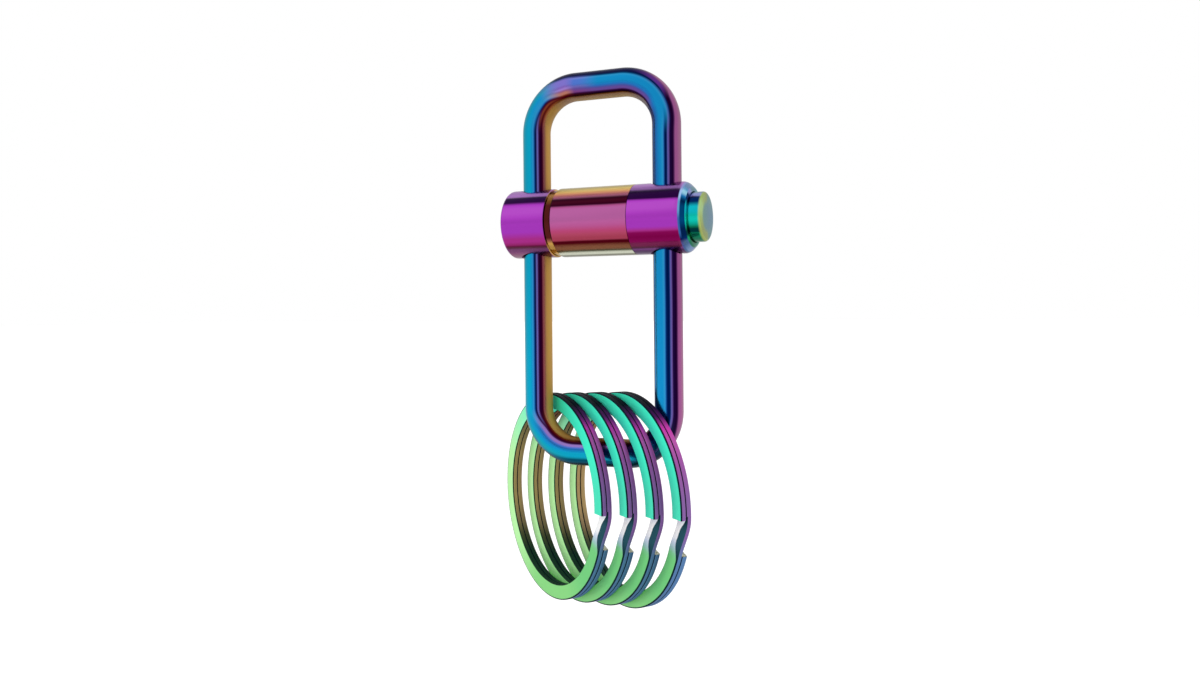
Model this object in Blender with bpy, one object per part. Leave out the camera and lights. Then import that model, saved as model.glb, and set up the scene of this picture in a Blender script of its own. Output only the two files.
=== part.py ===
"""Quick-release key clip: two rod bows joined by a cross barrel, carrying four split rings.

The upper bow is pinned in the barrel. The lower bow plugs in from below and is held by two
wire clips round the necks of its legs. Pressing the button drives two cams between the
prongs, which spreads them and frees the bow.

Axes: +X along the barrel to the button, +Z up. The world origin is the seat under the top
bar, where the clip hangs on a belt loop. The barrel's axis lies below it.
"""

import math

import bmesh
import bpy
from mathutils import Vector

MM = 0.001

# Bows, bent from one round rod
ROD_RADIUS = 2.0 * MM
LEG_SPACING = 19.85 * MM
TOP_BAR_RISE = 19.3 * MM
BOTTOM_BAR_DROP = 32.6 * MM
TOP_CORNER_RADIUS = 6.35 * MM
BOTTOM_CORNER_RADIUS = 6.2 * MM
LEG_END_CHAMFER = 0.35 * MM

# Barrel shells
SHELL_WALL = 0.8 * MM
LEFT_COLLAR_OUTBOARD = 3.7 * MM
LEFT_COLLAR_INBOARD = 3.2 * MM
LEFT_COLLAR_FILLET = 0.6 * MM
LEFT_COLLAR_END_WALL = 1.1 * MM
RIGHT_COLLAR_OUTBOARD = 3.95 * MM
RIGHT_COLLAR_INBOARD = 4.3 * MM
RIGHT_COLLAR_CHAMFER = 0.95 * MM
LIP_FACE_WIDTH = 0.25 * MM
SEAM_GAP = 0.08 * MM
RELIEF_WIDTH = 0.8 * MM
RELIEF_DEPTH = 0.25 * MM
LEG_HOLE_GAP = 0.3 * MM

# Fits between the inner pieces
SLIDE_GAP = 0.3 * MM
FIT_GAP = 0.15 * MM
SPLIT_GAP = 0.3 * MM
CUT_OVERRUN = 1.0 * MM
MERGE_DISTANCE = 0.001 * MM

# Core, in an upper and a lower half
CORE_WALL = 0.23 * MM
CORE_OVERHANG = 1.7 * MM
PIN_RADIUS = 0.45 * MM
PIN_HEIGHT = 1.75 * MM
PIN_END_INSET = 0.1 * MM
STOP_WALL = 0.55 * MM

# Button and plunger
BUTTON_PROUD = 1.65 * MM
BUTTON_RIM = 0.4 * MM
BUTTON_BASE = 0.65 * MM
BUTTON_GAP = 0.3 * MM
BUTTON_TRAVEL = 1.0 * MM
LIP_LENGTH = 1.35 * MM
ROD_BORE_DEPTH = 1.2 * MM
PLUNGER_RADIUS = 0.6 * MM
SHOULDER_RADIUS = 1.3 * MM
SHOULDER_LENGTH = 0.6 * MM
CAM_SHOULDER_GAP = 0.8 * MM

# Return spring
SPRING_WIRE = 0.4 * MM
SPRING_PITCH = 0.85 * MM
SEAT_THICKNESS = 0.6 * MM
SEAT_COVER = 0.45 * MM
SEAT_TOP = 1.8 * MM

# Latch clips and their cams
LATCH_WIRE = 0.6 * MM
LEG_END_LAND = 0.15 * MM
NECK_DEPTH = 0.7 * MM
PINCH_HALF_WIDTH = 0.9 * MM
RAMP_LENGTH = 1.25 * MM
BEND_LENGTH = 1.45 * MM
PRONG_OVERHANG = 1.6 * MM
PRONG_SPREAD = 0.55 * MM
CAM_LENGTH = 1.2 * MM
CAM_HALF_WIDTH = 1.05 * MM
CAM_NOSE_HALF_WIDTH = 0.45 * MM

# Split rings: a flat strip wound twice, stepping from the front layer to the back one
RING_COUNT = 4
RING_RADIUS = 15.0 * MM
RING_BAND = 2.1 * MM
RING_STRIP = 0.75 * MM
RING_SLIT = 0.1 * MM
RING_GAP = 0.26 * MM
RING_LEG_GAP = 0.38 * MM
RING_DROP_SHARE = 0.527
RING_DROP_STEP = 0.2 * MM
RING_SET_BACK_SHARE = 0.291
RING_SET_BACK_STEP = 1.05 * MM
RING_ROW_SHIFT = 0.14 * MM
FRONT_CUT_ANGLE = math.radians(-2.0)
STEP_START_ANGLE = math.radians(340.0)
STEP_END_ANGLE = math.radians(358.0)
BACK_CUT_ANGLE = math.radians(699.0)

# Facets
TURN_SIDES = 64
ROD_SIDES = 24
PIN_SIDES = 16
WIRE_SIDES = 8
CORNER_STEPS = 10
FILLET_STEPS = 4
BEND_STEPS = 7
RING_STEPS = 54
STEP_STEPS = 7
COIL_STEPS = 10

# Places that several pieces share: the legs and the latch
LEG_X = LEG_SPACING / 2
HOLE_RADIUS = ROD_RADIUS + LEG_HOLE_GAP
LEG_END = PLUNGER_RADIUS + SLIDE_GAP
CHANNEL_RADIUS = PLUNGER_RADIUS + SLIDE_GAP
POCKET_RADIUS = SHOULDER_RADIUS + SLIDE_GAP
NECK_RADIUS = ROD_RADIUS - NECK_DEPTH
NECK_TOP = LEG_END + LEG_END_CHAMFER + LEG_END_LAND
LATCH_DEPTH = NECK_TOP + SLIDE_GAP + LATCH_WIRE / 2
NECK_BOTTOM = LATCH_DEPTH + LATCH_WIRE / 2 + SLIDE_GAP
PRONG_Y = NECK_RADIUS + FIT_GAP + LATCH_WIRE / 2
TROUGH_DEPTH = LATCH_DEPTH + LATCH_WIRE / 2 + FIT_GAP
TROUGH_HALF_WIDTH = PRONG_Y + LATCH_WIRE / 2 + PRONG_SPREAD
STOP_X = LEG_X - HOLE_RADIUS - STOP_WALL
RIGHT_CAM_START = STOP_X - FIT_GAP - CAM_LENGTH
PINCH_INBOARD = RIGHT_CAM_START - FIT_GAP - CAM_NOSE_HALF_WIDTH
LEFT_CAM_START = PINCH_INBOARD - CAM_NOSE_HALF_WIDTH - FIT_GAP
POCKET_LEFT = LEFT_CAM_START + BUTTON_TRAVEL + SLIDE_GAP
BEND_APEX = PINCH_INBOARD - RAMP_LENGTH - BEND_LENGTH
MIDDLE_WALL_X = BEND_APEX - LATCH_WIRE / 2 - FIT_GAP

# The barrel, from the inside out
CORE_RADIUS = math.hypot(TROUGH_DEPTH, TROUGH_HALF_WIDTH) + CORE_WALL
BORE_RADIUS = CORE_RADIUS + SLIDE_GAP
BARREL_RADIUS = BORE_RADIUS + SHELL_WALL
CORE_END = LEG_X + CORE_OVERHANG
LEFT_END = LEG_X + LEFT_COLLAR_OUTBOARD
RIGHT_END = LEG_X + RIGHT_COLLAR_OUTBOARD
LEFT_SEAM = LEG_X - LEFT_COLLAR_INBOARD
RIGHT_SEAM = LEG_X - RIGHT_COLLAR_INBOARD
LIP_RADIUS = BARREL_RADIUS - RIGHT_COLLAR_CHAMFER - LIP_FACE_WIDTH
BUTTON_RADIUS = LIP_RADIUS - BUTTON_GAP
BUTTON_FACE = RIGHT_END + BUTTON_PROUD
BUTTON_BACK = RIGHT_END - BUTTON_BASE

# The return spring, between its seat and the plunger's shoulder
SEAT_X = SEAT_THICKNESS / 2 - MIDDLE_WALL_X
SEAT_HALF_WIDTH = math.sqrt(CORE_RADIUS ** 2 - SEAT_TOP ** 2) - SEAT_COVER
SPRING_START = SEAT_X + (SEAT_THICKNESS + SPRING_WIRE) / 2 + FIT_GAP
SHOULDER_END = RIGHT_CAM_START - CAM_SHOULDER_GAP
SHOULDER_START = SHOULDER_END - SHOULDER_LENGTH
SPRING_END = SHOULDER_START - FIT_GAP - SPRING_WIRE / 2
SPRING_TURNS = round((SPRING_END - SPRING_START) / SPRING_PITCH)
SPRING_RADIUS = PLUNGER_RADIUS + SLIDE_GAP + SPRING_WIRE / 2

# The row of rings, turned until it just fits between the legs
RING_THICKNESS = 2 * RING_STRIP + RING_SLIT
RING_STACK = RING_THICKNESS + (RING_COUNT - 1) * (RING_THICKNESS + RING_GAP)
RING_YAW = math.asin((RING_STACK + 2 * (ROD_RADIUS + RING_LEG_GAP)) / LEG_SPACING)
RING_PITCH = (RING_THICKNESS + RING_GAP) / math.sin(RING_YAW)
RING_INNER_RADIUS = RING_RADIUS - RING_BAND
RING_DROP = RING_DROP_SHARE * RING_INNER_RADIUS
RING_SET_BACK = RING_SET_BACK_SHARE * RING_INNER_RADIUS
SEAT_TO_AXIS = TOP_BAR_RISE - ROD_RADIUS


def clear_scene():
    """Removes what the file holds before the clip is built."""
    for obj in list(bpy.data.objects):
        bpy.data.objects.remove(obj, do_unlink=True)


def make_material(name, colour, roughness, metallic=1.0):
    """Makes a Principled material in one colour."""
    material = bpy.data.materials.new(name)
    material.use_nodes = True
    shader = material.node_tree.nodes["Principled BSDF"]
    shader.inputs["Base Color"].default_value = (*colour, 1.0)
    shader.inputs["Roughness"].default_value = roughness
    shader.inputs["Metallic"].default_value = metallic
    return material


def place(name, data, material, parent, location=(0, 0, 0), smooth_angle=math.radians(30)):
    """Adds a mesh or a bmesh to the scene as one named piece."""
    if isinstance(data, bmesh.types.BMesh):
        bmesh.ops.remove_doubles(data, verts=data.verts, dist=MERGE_DISTANCE)
        bmesh.ops.recalc_face_normals(data, faces=data.faces)
        mesh = bpy.data.meshes.new(name)
        data.to_mesh(mesh)
        data.free()
        mesh.shade_smooth()
        mesh.set_sharp_from_angle(angle=smooth_angle)
    else:
        mesh = data
    piece = bpy.data.objects.new(name, mesh)
    if material is not None and not mesh.materials:
        mesh.materials.append(material)
    bpy.context.scene.collection.objects.link(piece)
    piece.parent = parent
    piece.location = location
    return piece


def cut(piece, name, data, location=(0, 0, 0)):
    """Cuts a hidden solid out of a piece with a Boolean modifier."""
    tool = place(name, data, None, piece.parent, Vector(location) + piece.location)
    tool.hide_render = True
    tool.display_type = "WIRE"
    modifier = piece.modifiers.new(name, "BOOLEAN")
    modifier.operation = "DIFFERENCE"
    modifier.object = tool
    return tool


def bridge(bm, rings, closed=False):
    """Joins rings of vertices into a skin and caps its two ends, or closes it on itself."""
    pairs = list(zip(rings, rings[1:] + rings[:1] if closed else rings[1:]))
    for near, far in pairs:
        count = max(len(near), len(far))
        for k in range(count):
            corners = [near[k % len(near)], near[(k + 1) % len(near)],
                       far[(k + 1) % len(far)], far[k % len(far)]]
            bm.faces.new(list(dict.fromkeys(corners)))
    if not closed:
        for end in (rings[0], rings[-1]):
            if len(end) > 2:
                bm.faces.new(end)


def turned(profile, sides=TURN_SIDES):
    """Turns an (x, radius) outline about the X axis.

    An outline that starts and ends at radius 0 gives a solid, any other one a ring.
    """
    bm = bmesh.new()
    rings = []
    for x, radius in profile:
        if radius == 0:
            rings.append([bm.verts.new((x, 0, 0))])
            continue
        ring = []
        for k in range(sides):
            turn = math.tau * k / sides
            ring.append(bm.verts.new((x, radius * math.cos(turn), radius * math.sin(turn))))
        rings.append(ring)
    bridge(bm, rings, closed=profile[0][1] != 0)
    return bm


def round_bar(axis, radius, start, end, sides=PIN_SIDES):
    """Makes a cylinder along a row axis, 'X', 'Y' or 'Z', from start to end."""
    bm = turned([(start, 0), (start, radius), (end, radius), (end, 0)], sides)
    if axis != "X":
        for vert in bm.verts:
            along, first, second = vert.co
            vert.co = (first, along, second) if axis == "Y" else (first, second, along)
    return bm


def block(low, high):
    """Makes a box between two corners."""
    bm = bmesh.new()
    rings = []
    for x in (low[0], high[0]):
        rings.append([bm.verts.new((x, y, z)) for y, z in (
            (low[1], low[2]), (high[1], low[2]), (high[1], high[2]), (low[1], high[2]))])
    bridge(bm, rings)
    return bm


def swept(stations, side, sides):
    """Sweeps a circle along a flat path.

    Each station is a centre, a tangent and a radius, and side is the normal of the path's
    plane.
    """
    bm = bmesh.new()
    rings = []
    for centre, tangent, radius in stations:
        across = side.cross(tangent).normalized()
        ring = []
        for k in range(sides):
            turn = math.tau * k / sides
            offset = across * math.cos(turn) + side * math.sin(turn)
            ring.append(bm.verts.new(centre + offset * radius))
        rings.append(ring)
    bridge(bm, rings)
    return bm


def arc(start, end, steps):
    """Lists the angles of an arc from start to end, both included."""
    return [start + (end - start) * k / steps for k in range(steps + 1)]


def bow_stations(bar_z, corner, leg_stations):
    """Gives the stations of a bow: up the left leg, along the bar and down the right leg.

    bar_z is the bar's height over the barrel's axis, below zero for the lower bow, and
    leg_stations lists the (distance from the axis, radius) of each leg's end.
    """
    way = math.copysign(1, bar_z)
    up = Vector((0, 0, way))
    stations = [(Vector((-LEG_X, 0, way * height)), up, radius) for height, radius in leg_stations]
    centre_z = bar_z - way * corner
    for turn in arc(math.pi, math.pi / 2, CORNER_STEPS):
        centre = Vector((-LEG_X + corner + corner * math.cos(turn), 0,
                         centre_z + way * corner * math.sin(turn)))
        tangent = Vector((math.sin(turn), 0, -way * math.cos(turn)))
        stations.append((centre, tangent, ROD_RADIUS))
    mirrored = [(Vector((-c.x, c.y, c.z)), Vector((t.x, t.y, -t.z)), r)
                for c, t, r in reversed(stations)]
    return stations + mirrored


def build_bows(frame, materials):
    """Builds the pinned upper bow and the lower bow with its two latched leg ends."""
    plain_end = [(LEG_END, ROD_RADIUS - LEG_END_CHAMFER), (LEG_END + LEG_END_CHAMFER, ROD_RADIUS)]
    side = Vector((0, 1, 0))
    upper = place("upper_bow", swept(bow_stations(TOP_BAR_RISE, TOP_CORNER_RADIUS, plain_end),
                                     side, ROD_SIDES), materials["bow"], frame)
    for label, x in (("left", -LEG_X), ("right", LEG_X)):
        cut(upper, "upper_bow_hole_" + label,
            round_bar("Y", PIN_RADIUS + FIT_GAP, -BARREL_RADIUS, BARREL_RADIUS), (x, 0, PIN_HEIGHT))
    necked_end = plain_end + [(NECK_TOP, ROD_RADIUS), (NECK_TOP, NECK_RADIUS),
                              (NECK_BOTTOM, NECK_RADIUS), (NECK_BOTTOM, ROD_RADIUS)]
    place("lower_bow", swept(bow_stations(-BOTTOM_BAR_DROP, BOTTOM_CORNER_RADIUS, necked_end),
                             side, ROD_SIDES), materials["bow"], frame)


def cut_leg_holes(piece, label, x, low, high):
    """Cuts the upright hole for a leg, from low to high."""
    cut(piece, label, round_bar("Z", HOLE_RADIUS, low, high, ROD_SIDES), (x, 0, 0))


def build_shells(frame, materials):
    """Builds the three outer pieces of the barrel."""
    corner = LEFT_END - LEFT_COLLAR_FILLET
    round_edge = [(-corner - LEFT_COLLAR_FILLET * math.sin(turn),
                   BARREL_RADIUS - LEFT_COLLAR_FILLET * (1 - math.cos(turn)))
                  for turn in arc(0, math.pi / 2, FILLET_STEPS)]
    wall_x = -LEFT_END + LEFT_COLLAR_END_WALL
    inner_x = -LEFT_SEAM - SEAM_GAP / 2
    left = place("left_collar", turned(
        [(-LEFT_END, 0)] + round_edge[::-1] + [(inner_x, BARREL_RADIUS), (inner_x, BORE_RADIUS),
                                               (wall_x, BORE_RADIUS), (wall_x, 0)]),
        materials["collar"], frame)
    reach = BARREL_RADIUS + CUT_OVERRUN
    cut_leg_holes(left, "left_collar_hole", -LEG_X, -reach, reach)

    start = -LEFT_SEAM + SEAM_GAP / 2
    shoulder = start + RELIEF_WIDTH
    end = RIGHT_SEAM - SEAM_GAP / 2
    place("middle_sleeve", turned([
        (start, BORE_RADIUS), (start, BARREL_RADIUS - RELIEF_DEPTH),
        (shoulder, BARREL_RADIUS - RELIEF_DEPTH), (shoulder + RELIEF_DEPTH, BARREL_RADIUS),
        (end, BARREL_RADIUS), (end, BORE_RADIUS)]), materials["sleeve"], frame)

    inner_x = RIGHT_SEAM + SEAM_GAP / 2
    lip_x = RIGHT_END - LIP_LENGTH
    right = place("right_collar", turned([
        (inner_x, BORE_RADIUS), (inner_x, BARREL_RADIUS),
        (RIGHT_END - RIGHT_COLLAR_CHAMFER, BARREL_RADIUS),
        (RIGHT_END, BARREL_RADIUS - RIGHT_COLLAR_CHAMFER), (RIGHT_END, LIP_RADIUS),
        (lip_x, LIP_RADIUS), (lip_x, BORE_RADIUS)]), materials["collar"], frame)
    cut_leg_holes(right, "right_collar_hole", LEG_X, -reach, reach)


def half_core(way):
    """Makes half of the core's round bar, above (way 1) or below (way -1) the split."""
    lift = SPLIT_GAP / 2
    bm = bmesh.new()
    rings = []
    tilt = math.asin(lift / CORE_RADIUS)
    for x in (-CORE_END, CORE_END):
        rings.append([bm.verts.new((x, CORE_RADIUS * math.cos(turn), way * CORE_RADIUS * math.sin(turn)))
                      for turn in arc(tilt, math.pi - tilt, TURN_SIDES // 2)])
    bridge(bm, rings)
    return bm


def build_core(frame, materials):
    """Builds the two halves of the core, with the pockets that hold the latch."""
    reach = BARREL_RADIUS + CUT_OVERRUN
    halves = {}
    for name, way in (("core_upper", 1), ("core_lower", -1)):
        half = place(name, half_core(way), materials["steel"], frame)
        halves[name] = half
        for label, x in (("left", -LEG_X), ("right", LEG_X)):
            low, high = (-CUT_OVERRUN, reach) if way > 0 else (-reach, CUT_OVERRUN)
            cut_leg_holes(half, name + "_leg_" + label, x, low, high)
        cut(half, name + "_pocket", round_bar("X", POCKET_RADIUS, -POCKET_LEFT, STOP_X, ROD_SIDES))
        cut(half, name + "_channel", round_bar("X", CHANNEL_RADIUS, STOP_X - CUT_OVERRUN,
                                               LEG_X, ROD_SIDES))
        slot = SEAT_THICKNESS / 2 + FIT_GAP
        cut(half, name + "_seat_slot", block(
            (SEAT_X - slot, -SEAT_HALF_WIDTH - FIT_GAP, -(NECK_TOP + FIT_GAP)),
            (SEAT_X + slot, SEAT_HALF_WIDTH + FIT_GAP, SEAT_TOP + FIT_GAP)))
    for label, x in (("left", -LEG_X), ("right", LEG_X)):
        cut(halves["core_upper"], "core_upper_pin_" + label,
            round_bar("Y", PIN_RADIUS + FIT_GAP, -reach, reach), (x, 0, PIN_HEIGHT))
    for label, low, high in (("left", -CORE_END - CUT_OVERRUN, -MIDDLE_WALL_X),
                             ("right", MIDDLE_WALL_X, CORE_END + CUT_OVERRUN)):
        cut(halves["core_lower"], "core_lower_trough_" + label, block(
            (low, -TROUGH_HALF_WIDTH, -TROUGH_DEPTH), (high, TROUGH_HALF_WIDTH, CUT_OVERRUN)))
    half_length = math.sqrt(CORE_RADIUS ** 2 - PIN_HEIGHT ** 2) - PIN_END_INSET
    for label, x in (("left", -LEG_X), ("right", LEG_X)):
        place("bow_pin_" + label, round_bar("Y", PIN_RADIUS, -half_length, half_length),
              materials["steel"], frame, (x, 0, PIN_HEIGHT))


def prism(plan, low, high):
    """Makes an upright prism over an (x, y) outline."""
    bm = bmesh.new()
    bridge(bm, [[bm.verts.new((x, y, z)) for x, y in plan] for z in (low, high)])
    return bm


def build_button(frame, materials):
    """Builds the button, its plunger and the two cams that the plunger carries."""
    bore = PLUNGER_RADIUS + FIT_GAP
    bore_end = BUTTON_BACK + ROD_BORE_DEPTH
    place("button", turned([
        (bore_end, 0), (bore_end, bore), (BUTTON_BACK, bore), (BUTTON_BACK, BUTTON_RADIUS),
        (BUTTON_FACE - BUTTON_RIM, BUTTON_RADIUS), (BUTTON_FACE, BUTTON_RADIUS - BUTTON_RIM),
        (BUTTON_FACE, 0)]), materials["button"], frame)
    tail = -(LEFT_CAM_START + FIT_GAP)
    tip = bore_end - FIT_GAP
    place("plunger", turned([
        (tail, 0), (tail, PLUNGER_RADIUS), (SHOULDER_START, PLUNGER_RADIUS),
        (SHOULDER_START, SHOULDER_RADIUS), (SHOULDER_END, SHOULDER_RADIUS),
        (SHOULDER_END, PLUNGER_RADIUS), (tip, PLUNGER_RADIUS), (tip, 0)], ROD_SIDES), materials["steel"], frame)
    foot = -(LATCH_DEPTH + LATCH_WIRE / 2)
    top = math.sqrt((POCKET_RADIUS - FIT_GAP) ** 2 - CAM_HALF_WIDTH ** 2)
    for label, nose in (("left", -LEFT_CAM_START), ("right", RIGHT_CAM_START)):
        side = [(nose, CAM_NOSE_HALF_WIDTH), (nose + CAM_LENGTH / 2, CAM_HALF_WIDTH),
                (nose + CAM_LENGTH, CAM_HALF_WIDTH)]
        plan = side + [(x, -y) for x, y in reversed(side)]
        cam = place("release_cam_" + label, prism(plan, foot, top), materials["steel"], frame)
        cut(cam, "release_cam_bore_" + label,
            round_bar("X", bore, nose - CUT_OVERRUN, nose + CAM_LENGTH + CUT_OVERRUN))


def latch_wire_path(way):
    """Gives one hairpin's points: along a prong, in at the pinch, round the bend and back."""
    prong = [(LEG_X + PRONG_OVERHANG, PRONG_Y)]
    for x in arc(PINCH_INBOARD + RAMP_LENGTH, PINCH_INBOARD - RAMP_LENGTH, 2 * BEND_STEPS):
        closing = (1 + math.cos(math.pi * (x - PINCH_INBOARD) / RAMP_LENGTH)) / 2
        prong.append((x, PRONG_Y - (PRONG_Y - PINCH_HALF_WIDTH) * closing))
    for turn in arc(0, math.pi / 2, BEND_STEPS)[1:]:
        prong.append((BEND_APEX + BEND_LENGTH * (1 - math.sin(turn)), PRONG_Y * math.cos(turn)))
    points = prong + [(x, -y) for x, y in reversed(prong[:-1])]
    return [Vector((way * x, y, -LATCH_DEPTH)) for x, y in points]


def build_latch(frame, materials):
    """Builds the two latch clips, the return spring and the plate that the spring bears on."""
    for label, way in (("left", -1), ("right", 1)):
        points = latch_wire_path(way)
        stations = []
        for k, point in enumerate(points):
            tangent = points[min(k + 1, len(points) - 1)] - points[max(k - 1, 0)]
            stations.append((point, tangent.normalized(), LATCH_WIRE / 2))
        place("latch_clip_" + label, swept(stations, Vector((0, 0, 1)), WIRE_SIDES),
              materials["steel"], frame)
    half = SEAT_THICKNESS / 2
    seat = place("spring_seat", block((SEAT_X - half, -SEAT_HALF_WIDTH, -NECK_TOP),
                                      (SEAT_X + half, SEAT_HALF_WIDTH, SEAT_TOP)),
                 materials["steel"], frame)
    cut(seat, "spring_seat_hole", round_bar("X", PLUNGER_RADIUS + SLIDE_GAP,
                                            SEAT_X - CUT_OVERRUN, SEAT_X + CUT_OVERRUN))
    curve = bpy.data.curves.new("return_spring", "CURVE")
    curve.dimensions = "3D"
    curve.bevel_depth = SPRING_WIRE / 2
    curve.bevel_resolution = 1
    curve.use_fill_caps = True
    count = SPRING_TURNS * COIL_STEPS
    spline = curve.splines.new("POLY")
    spline.points.add(count)
    for k, point in enumerate(spline.points):
        turn = math.tau * k / COIL_STEPS
        along = SPRING_START + (SPRING_END - SPRING_START) * k / count
        point.co = (along, SPRING_RADIUS * math.cos(turn), SPRING_RADIUS * math.sin(turn), 1)
    place("return_spring", curve, materials["steel"], frame)


def split_ring():
    """Winds the flat strip of one ring in its own XZ plane, its front to -Y."""
    half_step = (RING_THICKNESS - RING_STRIP) / 2
    turns = arc(FRONT_CUT_ANGLE, STEP_START_ANGLE, RING_STEPS)
    turns += arc(STEP_START_ANGLE, STEP_END_ANGLE, STEP_STEPS)[1:]
    turns += arc(STEP_END_ANGLE, BACK_CUT_ANGLE, RING_STEPS)[1:]
    bm = bmesh.new()
    sections = []
    for turn in turns:
        share = (turn - STEP_START_ANGLE) / (STEP_END_ANGLE - STEP_START_ANGLE)
        share = min(max(share, 0), 1)
        centre_y = half_step * (2 * share * share * (3 - 2 * share) - 1)
        section = []
        for radius, y in ((RING_INNER_RADIUS, -1), (RING_RADIUS, -1),
                          (RING_RADIUS, 1), (RING_INNER_RADIUS, 1)):
            section.append(bm.verts.new((radius * math.cos(turn), centre_y + y * RING_STRIP / 2,
                                         radius * math.sin(turn))))
        sections.append(section)
    bridge(bm, sections)
    return bm


def build_rings(frame, materials):
    """Hangs the row of split rings on the lower bow, turned so that the row fits its legs."""
    mesh = None
    for k in range(RING_COUNT):
        along = k - (RING_COUNT - 1) / 2
        crossing = along * RING_PITCH - RING_ROW_SHIFT
        set_back = RING_SET_BACK - along * RING_SET_BACK_STEP
        drop = RING_DROP - along * RING_DROP_STEP
        centre = (crossing - set_back * math.cos(RING_YAW), set_back * math.sin(RING_YAW),
                  -BOTTOM_BAR_DROP - drop)
        ring = place("split_ring_%d" % (k + 1), mesh or split_ring(), materials["ring"], frame, centre)
        ring.rotation_euler = (0, 0, -RING_YAW)
        mesh = ring.data


def main():
    """Builds the whole clip."""
    clear_scene()
    frame = bpy.data.objects.new("clip_frame", None)
    bpy.context.scene.collection.objects.link(frame)
    frame.location = (0, 0, -SEAT_TO_AXIS)
    materials = {
        "bow": make_material("anodised_bow", (0.02, 0.32, 0.55), 0.12),
        "collar": make_material("anodised_collar", (0.42, 0.08, 0.50), 0.12),
        "sleeve": make_material("anodised_sleeve", (0.60, 0.24, 0.28), 0.14),
        "button": make_material("anodised_button", (0.02, 0.45, 0.42), 0.15),
        "ring": make_material("anodised_ring", (0.20, 0.75, 0.45), 0.2),
        "steel": make_material("spring_steel", (0.55, 0.56, 0.58), 0.3),
    }
    build_bows(frame, materials)
    build_shells(frame, materials)
    build_core(frame, materials)
    build_button(frame, materials)
    build_latch(frame, materials)
    build_rings(frame, materials)


main()
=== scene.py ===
"""Looks of a quick-release key clip: polished rod bows, a three-piece barrel, a push button
and four split rings, all in iridescent anodised metal.

Every outer piece is rebuilt as a fine mesh on the frame's own sizes and dressed in a film of
colours that is laid round the piece: the anodised film's tints with painted reflections,
painted highlights and painted shade in them. The pieces inside the barrel keep their solids
and get a machined or drawn steel.
"""

import logging
import math
from abc import ABC, abstractmethod
from dataclasses import dataclass
from enum import Enum
from typing import Any, Callable, Sequence

import bmesh
import bpy
from mathutils import Matrix, Vector


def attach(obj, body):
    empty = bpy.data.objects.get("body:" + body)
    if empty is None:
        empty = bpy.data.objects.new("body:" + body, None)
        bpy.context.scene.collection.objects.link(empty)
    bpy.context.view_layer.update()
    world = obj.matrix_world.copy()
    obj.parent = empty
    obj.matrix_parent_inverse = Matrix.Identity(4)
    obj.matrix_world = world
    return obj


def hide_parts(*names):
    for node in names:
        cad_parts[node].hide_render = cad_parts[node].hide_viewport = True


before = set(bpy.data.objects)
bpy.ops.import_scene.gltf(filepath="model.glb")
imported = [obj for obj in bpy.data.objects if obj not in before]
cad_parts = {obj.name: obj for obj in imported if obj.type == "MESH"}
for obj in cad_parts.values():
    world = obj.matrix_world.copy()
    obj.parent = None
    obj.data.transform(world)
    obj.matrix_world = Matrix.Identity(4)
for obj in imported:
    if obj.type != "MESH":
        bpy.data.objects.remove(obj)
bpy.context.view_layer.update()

LOG = logging.getLogger("key_clip")
MM = 0.001
AXIS_Z = -17.3 * MM
LEG_X = 9.925 * MM
WELD = 0.001 * MM


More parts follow.
